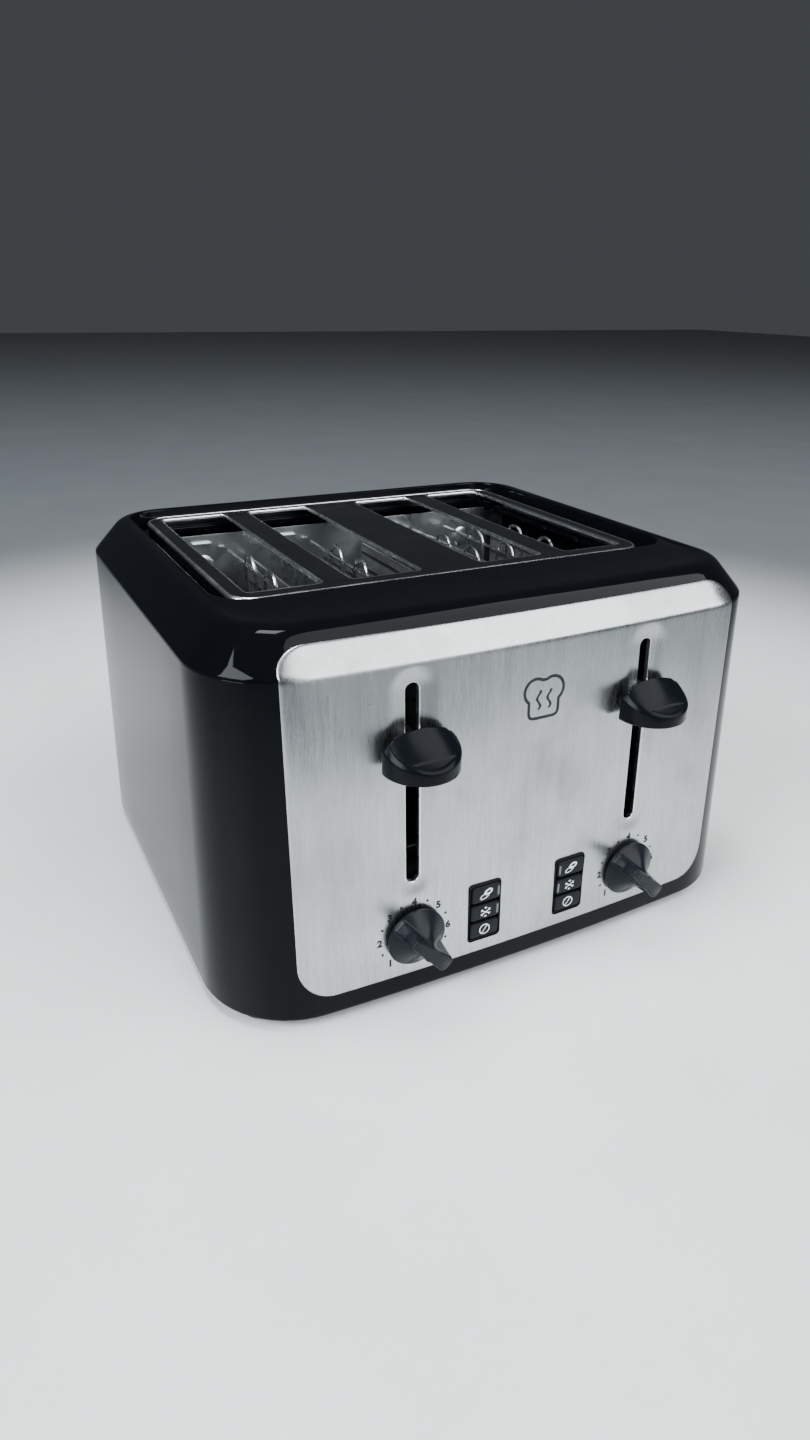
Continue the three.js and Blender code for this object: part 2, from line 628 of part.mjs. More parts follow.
// ---------- underside ----------
function makeUnderside() {
  for (const side of [-1, 1]) {
    const name = side < 0 ? 'left' : 'right';
    const x0 = side < 0 ? -TRAY_OUTER_X : TRAY_INNER_X;
    const x1 = side < 0 ? -TRAY_INNER_X : TRAY_OUTER_X;
    const rim = 0.9;
    const frontY = 84;
    const rearY = BODY_DEPTH - 3.2;
    let tray = box(x0, frontY, TRAY_Z, x1, rearY, TRAY_Z + 3.4);
    tray = tray.subtract(box(x0 + rim, frontY + rim, TRAY_Z + rim, x1 - rim, rearY - rim, TRAY_Z + 10));
    tray = tray.add(box(x0, rearY - 1, TRAY_Z, x1, BODY_DEPTH - 0.5, TRAY_Z + 8));
    tray = tray.subtract(box(x0 + 25, rearY + 0.4, TRAY_Z + 1.5, x1 - 25, BODY_DEPTH + 5, TRAY_Z + 3));
    add(`crumb_tray_${name}`, tray, BRIGHT_SHEET);
  }
  const corners = [
    ['front_left', -FOOT_X, FOOT_FRONT_Y],
    ['front_right', FOOT_X, FOOT_FRONT_Y],
    ['rear_left', -FOOT_X, FOOT_REAR_Y],
    ['rear_right', FOOT_X, FOOT_REAR_Y],
  ];
  for (const [name, x, y] of corners) {
    add(`foot_${name}`, cylinderZ(x, y, 0, FOOT_HEIGHT, 8.5, 10, 20), RUBBER);
  }
}

// ---------- power cord ----------
// Seen from above the coil is wound clockwise: one layer inwards, then one layer outwards on it.
const COIL_STAGES = [
  // [degrees turned, radius at the end, height at the end]
  [120, COIL_OUTER, CORD_REST_Z],
  [330, COIL_INNER, CORD_REST_Z],
  [70, COIL_INNER, CORD_REST_Z + CORD_LAYER],
  [310, COIL_OUTER, CORD_REST_Z + CORD_LAYER],
  [70, COIL_ENTRY, CORD_REST_Z],
];

// Points along the coil between two of its stages, starting at the side that faces -X.
function coilPoints(firstStage, lastStage) {
  const points = [];
  let angle = 180;
  let radius = COIL_ENTRY;
  let z = CORD_REST_Z;
  COIL_STAGES.forEach(([turned, endRadius, endZ], stage) => {
    const steps = Math.ceil(turned / 15);
    for (let i = 0; i <= steps; i += 1) {
      const t = i / steps;
      const ease = stage === 0 || stage === 4 || stage === 2 ? t * t * (3 - 2 * t) : t;
      const a = ((angle - turned * t) * Math.PI) / 180;
      const r = radius + (endRadius - radius) * ease;
      const x = COIL_CENTRE[0] + r * Math.cos(a);
      const y = COIL_CENTRE[1] + r * Math.sin(a);
      if (stage >= firstStage && stage <= lastStage && i > 0) points.push([x, y, z + (endZ - z) * ease]);
    }
    angle -= turned;
    radius = endRadius;
    z = endZ;
  });
  return points;
}

const PLUG_CENTRE_X = COIL_CENTRE[0] + COIL_ENTRY;

function makeCord() {
  // Strain relief: a ribbed boot, widest in the wall.
  const wallY = BODY_DEPTH - 4.5;
  const boot = cylinderY(EXIT_X, wallY, BOOT_END_Y - GAP, EXIT_Z, 5.0, 4.1, 16);
  const collar = cylinderY(EXIT_X, BODY_DEPTH + 0.1, BODY_DEPTH + 2.6, EXIT_Z, 7.2, 7.2, 16);
  add('strain_relief', boot.add(collar), MATTE_BLACK);

  // The lead leaves the boot level, comes down to the worktop and runs to the coil.
  const lead = [
    [EXIT_X, BOOT_END_Y, EXIT_Z],
    [EXIT_X, 285, 15.2],
    [EXIT_X, 290, 14.3],
    [EXIT_X, 296, 12.3],
    [EXIT_X, 303, 9.0],
    [EXIT_X, 310, 5.6],
    [EXIT_X, 316, 3.3],
    [EXIT_X, 322, CORD_REST_Z],
    [EXIT_X, 328, CORD_REST_Z],
  ];
  const clear = COIL_OUTER + CORD_WIDTH + 0.5;
  const awayFromCoil = ([x, y]) => Math.hypot(x - COIL_CENTRE[0], y - COIL_CENTRE[1]) > clear;
  const flat = CORD_THICKNESS / CORD_WIDTH;
  const approach = coilPoints(0, 0).filter(awayFromCoil);
  add('power_cord_lead', sweep(lead.concat(approach), CORD_WIDTH / 2, 30, 8, flat), RUBBER);

  const leave = coilPoints(4, 4).filter(awayFromCoil);
  const tail = [
    [PLUG_CENTRE_X, 311, 3.4],
    [PLUG_CENTRE_X, 316, 2.6],
    [PLUG_CENTRE_X, 322, CORD_REST_Z],
  ].concat(leave.reverse());
  add('power_cord_tail', sweep(tail, CORD_WIDTH / 2, 14, 8, flat), RUBBER);

  const inner = COIL_INNER - CORD_WIDTH / 2;
  const outer = COIL_OUTER + CORD_WIDTH / 2;
  const top = CORD_REST_Z + CORD_LAYER + CORD_THICKNESS / 2;
  const bottom = 0.1;
  const ring = new THREE.LatheGeometry(
    [
      new THREE.Vector2(inner, bottom),
      new THREE.Vector2(outer, bottom),
      new THREE.Vector2(outer, top),
      new THREE.Vector2(inner, top),
      new THREE.Vector2(inner, bottom),
    ],
    40,
  );
  ring.rotateX(Math.PI / 2).translate(COIL_CENTRE[0], COIL_CENTRE[1], 0);
  add('cord_coil', solid(ring), RUBBER);

  // Flat plug lying on its face, blades level with the worktop.
  const plugEnd = 310.4;
  const body = prismZ(roundedRectangle(PLUG_CENTRE_X - 12, plugEnd - 27, PLUG_CENTRE_X + 12, plugEnd, 5), 0.1, 13);
  let plug = body;
  for (const side of [-1, 1]) {
    const x = PLUG_CENTRE_X + side * 6.35;
    plug = plug.add(box(x - 0.75, plugEnd - 43, 3.4, x + 0.75, plugEnd - 26, 9.7));
  }
  add('plug', plug, MATTE_BLACK);
}

makeHousing();
makeSlotPlate();
makeBulkheads();
makeHeaters();
makeGuides();
makeLift();
makeControls();
makeUnderside();
makeCord();

const foremostY = KNOB_CENTRE_Y - KNOB_RADIUS;
toaster.position.y = -(BODY_DEPTH - SIDE_DRAFT * SHELL_BOTTOM + foremostY) / 2;

export default toaster;
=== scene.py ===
"""Visual model of a four-slice pop-up toaster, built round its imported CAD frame.

Lengths in this file are millimetres in the maker's layout: x = 0 is the middle of the toaster,
y = 0 the foot of its front, z = 0 the worktop. `Layout.to_frame` brings them to the frame's metres.
"""
import logging
import math
from dataclasses import dataclass, field
from enum import Enum
from typing import Iterable, Sequence

import bmesh
import bpy
import numpy as np
from mathutils import Matrix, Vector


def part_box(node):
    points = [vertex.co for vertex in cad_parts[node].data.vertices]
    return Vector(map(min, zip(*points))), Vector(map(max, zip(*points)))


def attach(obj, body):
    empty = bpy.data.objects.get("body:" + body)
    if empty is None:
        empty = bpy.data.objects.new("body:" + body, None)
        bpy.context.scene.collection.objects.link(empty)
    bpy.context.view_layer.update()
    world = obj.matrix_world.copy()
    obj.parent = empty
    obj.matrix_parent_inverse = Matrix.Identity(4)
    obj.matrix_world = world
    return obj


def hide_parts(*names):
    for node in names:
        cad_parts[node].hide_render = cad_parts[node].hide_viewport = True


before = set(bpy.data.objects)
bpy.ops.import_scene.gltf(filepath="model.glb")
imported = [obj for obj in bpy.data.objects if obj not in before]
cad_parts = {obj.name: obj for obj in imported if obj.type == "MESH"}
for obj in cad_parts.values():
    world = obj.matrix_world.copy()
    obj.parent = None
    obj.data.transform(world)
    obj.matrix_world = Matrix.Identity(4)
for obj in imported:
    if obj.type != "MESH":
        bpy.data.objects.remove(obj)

LOG = logging.getLogger("toaster")
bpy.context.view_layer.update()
CHASSIS = "chassis"
SIDES: dict[str, int] = {"left": -1, "right": 1}
SLOT_CENTRES = np.array([-82.25, -33.25, 33.25, 82.25])
TAU = 2 * math.pi


# ---------- layout ----------
@dataclass(frozen=True)
class Layout:
    """Where the maker's layout lies in the frame."""

    plate_front: float = 71.5

    def shift(self) -> float:
        """Distance in millimetres that the frame's origin lies behind the foot of the front."""
        return self.plate_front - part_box("slot_plate")[0].y * 1000

    def to_frame(self, points: np.ndarray) -> np.ndarray:
        """Turns layout millimetres into frame metres.

        Args:
            points: array of shape (n, 3) in millimetres.

        Returns:
            The same points in metres, moved back by the shift.
        """
        moved = np.array(points, dtype=float).reshape(-1, 3) - (0.0, self.shift(), 0.0)
        return moved / 1000


LAYOUT = Layout()


@dataclass(frozen=True)
class HousingForm:
    """Outer form of the housing: bowed front, round corners, walls that lean inwards."""

    half_width: float = 141.8
    depth: float = 259.0
    side_draft: float = 0.0273
    front_draft: float = 0.049
    bow: float = 5.2
    bow_reach: float = 143.0
    corner_base: float = 44.0
    corner_crease: float = 40.0
    crease: float = 160.1
    chamfer_top: float = 172.3
    chamfer_inset: float = 11.1
    crease_blend: float = 1.3

    def measures(self, z: np.ndarray | float, inset: np.ndarray | float) -> dict[str, np.ndarray]:
        """Plan measures at a height.

        Args:
            z: height; the walls stop leaning at the crease.
            inset: distance that every side is moved inwards.

        Returns:
            Half width, front, back and corner radius there.
        """
        walls = np.minimum(z, self.crease)
        shrink = (self.corner_base - self.corner_crease) * walls / self.crease
        return {
            "half": self.half_width - self.side_draft * walls - inset,
            "front": self.front_draft * walls + inset,
            "back": self.depth - self.side_draft * walls - inset,
            "radius": np.maximum(self.corner_base - shrink - inset, 4.0),
        }

    def loop(self, z: float, inset: float = 0.0) -> np.ndarray:
        """Closed plan outline of the housing at a height, as (n, 2) points."""
        m = self.measures(z, inset)
        return plan_loop(
            float(m["half"]), float(m["front"]), float(m["back"]), float(m["radius"]), self.bow,
            self.bow_reach
        )

    def front_y(self, x: np.ndarray, z: np.ndarray) -> np.ndarray:
        """Depth of the front at points of the elevation.

        A parabola across the middle, a circular arc at each corner; above the crease everything
        moves inwards along the chamfer, eased in over a short blend.

        Args:
            x: distances from the middle.
            z: heights.

        Returns:
            y of the surface at each point.
        """
        x = np.abs(x)
        over = np.clip(z - self.crease + self.crease_blend, 0, None)
        eased = np.minimum(over, 2 * self.crease_blend) ** 2 / (4 * self.crease_blend)
        climb = eased + np.clip(over - 2 * self.crease_blend, 0, None)
        inset = climb * self.chamfer_inset / (self.chamfer_top - self.crease)
        m = self.measures(z, inset)
        reach = m["half"] - m["radius"]
        slope = np.arctan(2 * self.bow * reach / self.bow_reach**2)
        end = reach + m["radius"] * np.sin(slope)
        middle = m["front"] + self.bow * (x / self.bow_reach) ** 2
        centre = m["front"] + self.bow * (end / self.bow_reach) ** 2 + m["radius"] * np.cos(slope)
        chord = np.clip(m["radius"] ** 2 - (x - reach) ** 2, 0, None)
        return np.where(x < end, middle, centre - np.sqrt(chord))


# ---------- numpy shapes ----------
FRONT_STEPS, CORNER_STEPS, SIDE_STEPS, BACK_STEPS = 22, 14, 5, 12


def plan_loop(
    half: float, front: float, back: float, radius: float, bow: float = 0.0, reach_of_bow: float = 143.0
) -> np.ndarray:
    """Plan outline with a bowed front, four round corners and straight sides and back.

    The front is front + bow * (x / reach_of_bow)^2; each front corner is an arc that starts on the
    parabola's own tangent. Every outline has the same number of points, in the same order, so any
    two can be joined ring to ring.

    Args:
        half: half of the width.
        front: y of the front at the middle.
        back: y of the back.
        radius: corner radius.
        bow: fall of the front at `reach_of_bow` from the middle.
        reach_of_bow: see bow.

    Returns:
        (n, 2) points, anticlockwise seen from above, from the middle of the front.
    """
    reach = half - radius
    slope = math.atan(2 * bow * reach / reach_of_bow**2)
    end = reach + radius * math.sin(slope)
    centre = front + bow * (end / reach_of_bow) ** 2 + radius * math.cos(slope)
    xs = np.linspace(0, end, FRONT_STEPS + 1)[:-1]
    a = np.linspace(slope - math.pi / 2, 0, CORNER_STEPS + 1)
    ys = np.linspace(centre, back - radius, SIDE_STEPS + 1)[1:-1]
    b = np.linspace(0, math.pi / 2, CORNER_STEPS + 1)
    xb = np.linspace(reach, 0, BACK_STEPS + 1)[1:]
    right = np.concatenate([
        np.stack([xs, front + bow * (xs / reach_of_bow) ** 2], 1),
        np.stack([reach + radius * np.cos(a), centre + radius * np.sin(a)], 1),
        np.stack([np.full_like(ys, half), ys], 1),
        np.stack([reach + radius * np.cos(b), back - radius + radius * np.sin(b)], 1),
        np.stack([xb, np.full_like(xb, back)], 1),
    ])
    return np.concatenate([right, right[1:-1][::-1] * (-1, 1)])


def rounded_loop(
    x0: float, z0: float, x1: float, z1: float, radius: float, arc: int = 6, run: int = 1
) -> np.ndarray:
    """Rectangle with quarter-circle corners, anticlockwise from the lower right.

    Args:
        x0, z0, x1, z1: opposite corners.
        radius: corner radius.
        arc: steps in each corner.
        run: steps along each straight side.

    Returns:
        (n, 2) points.
    """
    quarter = np.linspace(0, math.pi / 2, arc + 1)
    centres = [
        (x1 - radius, z0 + radius), (x1 - radius, z1 - radius), (x0 + radius, z1 - radius),
        (x0 + radius, z0 + radius)
    ]
    corners = [
        np.stack(
            [
                cx + radius * np.cos(quarter + (k - 1) * math.pi / 2),
                cz + radius * np.sin(quarter + (k - 1) * math.pi / 2)
            ],
            1
        )
        for k, (cx, cz) in enumerate(centres)
    ]
    t = np.linspace(0, 1, run + 1)[1:-1, None]
    sides = [corners[k][-1] * (1 - t) + corners[(k + 1) % 4][0] * t for k in range(4)]
    return np.concatenate([part for k in range(4) for part in (corners[k], sides[k])])


def grid_faces(
    rows: int, cols: int, wrap_rows: bool = False, wrap_cols: bool = False, start: int = 0
) -> np.ndarray:
    """Quads over a grid of vertices that is numbered row by row.

    Args:
        rows, cols: vertices each way.
        wrap_rows, wrap_cols: whether the last row or column joins the first.
        start: number of the first vertex.

    Returns:
        (n, 4) vertex numbers.
    """
    r = np.arange(rows if wrap_rows else rows - 1)
    c = np.arange(cols if wrap_cols else cols - 1)
    rr, cc = np.meshgrid(r, c, indexing="ij")
    r1, c1 = (rr + 1) % rows, (cc + 1) % cols
    quads = np.stack([rr * cols + cc, rr * cols + c1, r1 * cols + c1, r1 * cols + cc], -1)
    return quads.reshape(-1, 4) + start


@dataclass
class Shape:
    """Vertices in layout millimetres, and faces as lists of vertex numbers."""

    points: np.ndarray
    faces: list[list[int]]

    @staticmethod
    def joined(parts: Iterable["Shape"]) -> "Shape":
        """One shape that holds several closed ones.

        Args:
            parts: the closed shapes.

        Returns:
            The shape.
        """
        points: list[np.ndarray] = []
        faces: list[list[int]] = []
        count = 0
        for part in parts:
            points.append(part.points)
            faces += [[i + count for i in face] for face in part.faces]
            count += len(part.points)
        return Shape(np.concatenate(points), faces)

    def build(self, name: str, sharp: float = 32.0, smooth: bool = True) -> bpy.types.Object:
        """Makes the Blender object: welded, with faces outwards and edges sharp above an angle.

        Args:
            name: name of the piece.
            sharp: angle in degrees above which an edge is shaded sharp.
            smooth: whether the rest is shaded smooth.

        Returns:
            The object, at the origin, with its place in its mesh.
        """
        mesh = bpy.data.meshes.new(name)
        mesh.from_pydata(LAYOUT.to_frame(self.points).tolist(), [], self.faces)
        tidy = bmesh.new()
        tidy.from_mesh(mesh)
        bmesh.ops.remove_doubles(tidy, verts=tidy.verts, dist=1e-6)
        bmesh.ops.dissolve_degenerate(tidy, edges=tidy.edges, dist=1e-7)
        bmesh.ops.recalc_face_normals(tidy, faces=tidy.faces)
        tidy.to_mesh(mesh)
        tidy.free()
        if smooth:
            mesh.shade_smooth()
            mesh.set_sharp_from_angle(angle=math.radians(sharp))
        obj = bpy.data.objects.new(name, mesh)
        bpy.context.scene.collection.objects.link(obj)
        return obj


def rings(loops: Sequence[np.ndarray], closed: bool = False, caps: bool = True) -> Shape:
    """Joins rings of equal count into a body.

    Args:
        loops: arrays of shape (n, 3), one for each ring.
        closed: whether the last ring joins the first, as round a hollow frame.
        caps: whether open ends are filled with one face each.

    Returns:
        The shape.
    """
    stack = np.stack(loops)
    count, around = stack.shape[:2]
    faces = grid_faces(count, around, wrap_rows=closed, wrap_cols=True).tolist()
    if caps and not closed:
        last = (count - 1) * around
        faces.append(list(range(around))[::-1])
        faces.append(list(range(last, last + around)))
    return Shape(stack.reshape(-1, 3), faces)


def plan_rings(profile: Sequence[tuple[np.ndarray, float]], closed: bool = False) -> Shape:
    """Joins plan outlines, each at its height.

    Args:
        profile: pairs of a (n, 2) outline and its z.
        closed: whether the last joins the first.

    Returns:
        The shape.
    """
    return rings([np.column_stack([loop, np.full(len(loop), z)]) for loop, z in profile], closed)


def offset_loop(loop: np.ndarray, distance: float) -> np.ndarray:
    """Moves each point of a closed (n, 2) outline along its outward normal by a distance.

    Args:
        loop: the outline, anticlockwise.
        distance: how far, in millimetres; less than zero is inwards.

    Returns:
        The moved outline.
    """
    along = np.roll(loop, -1, 0) - np.roll(loop, 1, 0)
    along /= np.linalg.norm(along, axis=1, keepdims=True)
    return loop + distance * np.stack([along[:, 1], -along[:, 0]], 1)


def tube(path: np.ndarray, section: np.ndarray, side: np.ndarray | None = None, closed: bool = False) -> Shape:
    """Carries a section along a path.

    The section's first axis lies along `side` (or, if none is given, level and square to the
    path), with the part along the path taken away; its second axis is path x first axis.

    Args:
        path: (n, 3) points.
        section: (m, 2) outline.
        side: a direction that is never along the path.
        closed: whether the path is a loop.

    Returns:
        The shape, with its ends filled.
    """
    if closed:
        ahead = np.roll(path, -1, 0) - np.roll(path, 1, 0)
    else:
        ahead = np.gradient(path, axis=0)
    ahead /= np.linalg.norm(ahead, axis=1, keepdims=True)
    if side is None:
        across = np.cross(ahead, (0.0, 0.0, 1.0))
    else:
        across = side - (ahead @ side)[:, None] * ahead
    across /= np.linalg.norm(across, axis=1, keepdims=True)
    up = np.cross(across, ahead)
    points = path[:, None] + section[None, :, :1] * across[:, None] + section[None, :, 1:] * up[:, None]
    return rings(list(points), closed=closed)


def circle(radius: float, sides: int) -> np.ndarray:
    """Regular outline round the origin, as (n, 2) points."""
    a = np.arange(sides) * TAU / sides
    return radius * np.stack([np.cos(a), np.sin(a)], 1)


def lathe(profile: Sequence[tuple[float, float]], centre: Sequence[float], axis: str, sides: int = 48) -> Shape:
    """Turns a profile about an axis: at angle a a point is radius * (cos a, sin a) and its distance.

    Args:
        profile: pairs of radius and distance along the axis; it ends on the axis at both ends.
        centre: point of the axis that distances start from.
        axis: "y" or "z".
        sides: steps round.

    Returns:
        The closed shape.
    """
    r, h = np.array(profile).T
    a = np.arange(sides) * TAU / sides
    u, v = r[:, None] * np.cos(a), r[:, None] * np.sin(a)
    w = np.broadcast_to(h[:, None], u.shape)
    order = (u, w, v) if axis == "y" else (u, v, w)
    points = np.stack(order, -1) + np.array(centre)
    return Shape(points.reshape(-1, 3), grid_faces(len(r), sides, wrap_cols=True).tolist())


def block(x0: float, y0: float, z0: float, x1: float, y1: float, z1: float) -> Shape:
    """A bar between opposite corners, as two rings of four points."""
    loop = np.array([(x0, y0), (x1, y0), (x1, y1), (x0, y1)])
    return plan_rings([(loop, z0), (loop, z1)])


def front_prism(loop: np.ndarray, y0: float, y1: float) -> Shape:
    """A prism over an outline in x and z, from y0 back to y1."""
    near = np.column_stack([loop[:, 0], np.full(len(loop), y0), loop[:, 1]])
    return rings([near, near + (0.0, y1 - y0, 0.0)])


def smooth_step(t: np.ndarray) -> np.ndarray:
    """3t^2 - 2t^3 with t held between 0 and 1."""
    t = np.clip(t, 0, 1)
    return t * t * (3 - 2 * t)


def smooth_min(a: np.ndarray, b: np.ndarray, width: float) -> np.ndarray:
    """The smaller of two heights, rounded off where they are within `width` of each other."""
    h = np.clip(0.5 + 0.5 * (b - a) / width, 0, 1)
    return b * (1 - h) + a * h - width * h * (1 - h)


def cut(obj: bpy.types.Object, tools: Sequence[Shape], sharp: float = 32.0) -> None:
    """Takes closed shapes out of a piece and keeps the result as its mesh.

    Args:
        obj: the piece.
        tools: shapes to take away, none of which touches another.
        sharp: angle for sharp edges afterwards.
    """
    tool = Shape.joined(tools).build(obj.name + "_tool", smooth=False)
    modifier = obj.modifiers.new("cut", "BOOLEAN")
    modifier.operation = "DIFFERENCE"
    modifier.solver = "EXACT"
    modifier.object = tool
    result = bpy.data.meshes.new_from_object(obj.evaluated_get(bpy.context.evaluated_depsgraph_get()))
    obj.modifiers.clear()
    obj.data = result
    result.name = obj.name
    result.shade_smooth()
    result.set_sharp_from_angle(angle=math.radians(sharp))
    bpy.data.objects.remove(tool)


def settle(
    obj: bpy.types.Object, body: str, finish: "Finish", replaces: Sequence[str] = ()
) -> bpy.types.Object:
    """Rides a piece on its body, dresses it and reports it.

    Args:
        obj: the piece.
        body: CAD body that it moves with.
        finish: its finish.
        replaces: CAD nodes that it stands for.

    Returns:
        The same piece.
    """
    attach(obj, body)
    if replaces:
        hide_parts(*replaces)
    obj.data.materials.clear()
    obj.data.materials.append(finish.material())
    LOG.info("%s: %d faces, rides %s", obj.name, len(obj.data.polygons), body)
    return obj


def dress_node(node: str, finish: "Finish") -> None:
    """Gives a CAD node its finish.

    Args:
        node: the CAD node.
        finish: its finish.
    """
    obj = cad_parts[node]
    for place in obj.material_slots:
        place.material = finish.material()
    LOG.info("%s: CAD node, dressed as %s", node, type(finish).__name__)


# ---------- node tools ----------
Colour = tuple[float, float, float]


def rgba(colour: Colour) -> tuple[float, float, float, float]:
    """A colour with full alpha."""
    return (*colour, 1.0)


class Nodes:
    """Short words for building one node tree."""

    def __init__(self, tree: bpy.types.NodeTree) -> None:
        """Keeps the tree."""
        self.tree = tree

    def add(
        self, kind: str, inputs: dict[str | int, object] | None = None, **settings: object
    ) -> bpy.types.Node:
        """Adds a node.

        Args:
            kind: Blender's name of the node type.
            inputs: socket name or number to a value, or to a socket that feeds it.
            settings: properties of the node.

        Returns:
            The node.
        """
        node = self.tree.nodes.new(kind)
        for name, value in settings.items():
            setattr(node, name, value)
        for name, value in (inputs or {}).items():
            if isinstance(value, bpy.types.NodeSocket):
                self.tree.links.new(value, node.inputs[name])
            else:
                node.inputs[name].default_value = value
        return node

    def math(self, operation: str, a: object, b: object = 0.0, clamp: bool = False) -> bpy.types.NodeSocket:
        """One Math node's result."""
        return self.add("ShaderNodeMath", {0: a, 1: b}, operation=operation, use_clamp=clamp).outputs[0]

    def stretched(
        self, vector: bpy.types.NodeSocket, scale: Colour, turn: Colour = (0, 0, 0)
    ) -> bpy.types.NodeSocket:
        """The vector scaled by axis, after a turn."""
        return self.add("ShaderNodeMapping", {"Vector": vector, "Scale": scale, "Rotation": turn}).outputs[0]

    def noise(
        self, vector: bpy.types.NodeSocket, scale: float, detail: float = 3.0, rough: float = 0.5
    ) -> bpy.types.NodeSocket:
        """Noise between about 0 and 1."""
        return self.add(
            "ShaderNodeTexNoise", {"Vector": vector, "Scale": scale, "Detail": detail, "Roughness": rough}
        ).outputs[0]

    def span(
        self, value: object, low: float, high: float, to_low: float, to_high: float, smooth: bool = False
    ) -> bpy.types.NodeSocket:
        """The value carried from one range to another, and held there.

        Args:
            value: number or socket.
            low, high: range that it comes in.
            to_low, to_high: range that it is carried to.
            smooth: whether it eases in and out.

        Returns:
            The result.
        """
        kind = "SMOOTHSTEP" if smooth else "LINEAR"
        inputs = {"Value": value, "From Min": low, "From Max": high, "To Min": to_low, "To Max": to_high}
        return self.add("ShaderNodeMapRange", inputs, interpolation_type=kind).outputs[0]

    def blend(self, factor: object, a: object, b: object) -> bpy.types.NodeSocket:
        """A mix of two colours."""
        node = self.add("ShaderNodeMix", {0: factor, 6: a, 7: b}, data_type="RGBA")
        return node.outputs[2]

    def group(self, tree: bpy.types.NodeTree, inputs: dict[str, object]) -> bpy.types.Node:
        """Places a shared effect.

        Args:
            tree: the effect.
            inputs: input name to a value, or to a socket that feeds it.

        Returns:
            The node.
        """
        node = self.add("ShaderNodeGroup", node_tree=tree)
        for name, value in inputs.items():
            if isinstance(value, bpy.types.NodeSocket):
                self.tree.links.new(value, node.inputs[name])
            else:
                node.inputs[name].default_value = value
        return node


_groups: dict[str, bpy.types.NodeTree] = {}


def effect(name: str, inputs: dict[str, float | None], outputs: Sequence[str]) -> tuple[
    bpy.types.NodeTree, Nodes, dict[str, bpy.types.NodeSocket], bpy.types.Node
]:
    """Starts a shared effect.

    Args:
        name: the effect's name.
        inputs: input name to its usual value, or None for a vector.
        outputs: names of the values it gives.

    Returns:
        The tree, its node tools, its input sockets by name, and the node that takes the outputs.
    """
    tree = bpy.data.node_groups.new(name, "ShaderNodeTree")
    for socket, value in inputs.items():
        kind = "NodeSocketVector" if value is None else "NodeSocketFloat"
        made = tree.interface.new_socket(socket, in_out="INPUT", socket_type=kind)
        if value is not None:
            made.default_value = value
    for socket in outputs:
        tree.interface.new_socket(socket, in_out="OUTPUT", socket_type="NodeSocketFloat")
    nodes = Nodes(tree)
    source = nodes.add("NodeGroupInput")
    end = nodes.add("NodeGroupOutput")
    _groups[name] = tree
    return tree, nodes, {socket.name: socket for socket in source.outputs if socket.name}, end


def grain_effect() -> bpy.types.NodeTree:
    """Brushed grain: long thin streaks in three sizes. The vector is already stretched.

    Returns:
        The effect, made on first use.
    """
    if "Grain" in _groups:
        return _groups["Grain"]
    tree, n, given, end = effect("Grain", {"Vector": None, "Contrast": 1.0}, ["Streak", "Height"])
    fine = n.noise(given["Vector"], 1.0, 2.0, 0.6)
    broad = n.noise(given["Vector"], 0.21, 3.0, 0.6)
    veil = n.noise(given["Vector"], 0.05, 2.0, 0.5)
    mixed = n.math(
        "ADD", n.math("MULTIPLY", fine, 0.5),
        n.math("ADD", n.math("MULTIPLY", broad, 0.3), n.math("MULTIPLY", veil, 0.2))
    )
    spread = n.math("MULTIPLY", n.math("SUBTRACT", mixed, 0.5), given["Contrast"])
    tree.links.new(n.math("ADD", spread, 0.5, clamp=True), end.inputs["Streak"])
    tree.links.new(
        n.math("ADD", n.math("MULTIPLY", fine, 0.7), n.math("MULTIPLY", broad, 0.3)), end.inputs["Height"]
    )
    return tree


def mould_effect() -> bpy.types.NodeTree:
    """Moulded plastic: a fine pebbled grain over a slow waviness. The vector is in metres.

    Returns:
        The effect, made on first use.
    """
    if "Mould" in _groups:
        return _groups["Mould"]
    tree, n, given, end = effect("Mould", {"Vector": None, "Grain": 2600.0}, ["Height", "Tone"])
    pebble = n.add(
        "ShaderNodeTexNoise",
        {"Vector": given["Vector"], "Scale": given["Grain"], "Detail": 2.0, "Roughness": 0.6}
    ).outputs[0]
    wave = n.noise(given["Vector"], 55.0, 1.0)
    tree.links.new(
        n.math("ADD", n.math("MULTIPLY", pebble, 0.35), n.math("MULTIPLY", wave, 0.65)), end.inputs["Height"]
    )
    tree.links.new(n.noise(given["Vector"], 120.0, 4.0, 0.65), end.inputs["Tone"])
    return tree


def marks_effect() -> bpy.types.NodeTree:
    """Use marks: dust specks and soft smudges. The vector is in metres.

    Returns:
        The effect, made on first use.
    """
    if "Marks" in _groups:
        return _groups["Marks"]
    tree, n, given, end = effect(
        "Marks", {"Vector": None, "Speck Scale": 300.0, "Speck Size": 0.05}, ["Specks", "Smudge"]
    )
    cells = n.add(
        "ShaderNodeTexVoronoi", {"Vector": given["Vector"], "Scale": given["Speck Scale"], "Randomness": 1.0},
        feature="F1"
    )
    near = n.math("LESS_THAN", cells.outputs["Distance"], given["Speck Size"])
    some = n.math("GREATER_THAN", n.noise(given["Vector"], 47.0, 2.0), 0.56)
    tree.links.new(n.math("MULTIPLY", near, some), end.inputs["Specks"])
    cloud = n.noise(given["Vector"], 17.0, 4.0, 0.6)
    wipe = n.noise(n.stretched(given["Vector"], (60.0, 60.0, 14.0), (0.0, 0.5, 0.3)), 1.0, 3.0, 0.55)
    smudge = n.math("MULTIPLY", n.span(cloud, 0.42, 0.68, 0.0, 1.0, True), n.span(wipe, 0.35, 0.7, 0.2, 1.0))
    tree.links.new(smudge, end.inputs["Smudge"])
    return tree


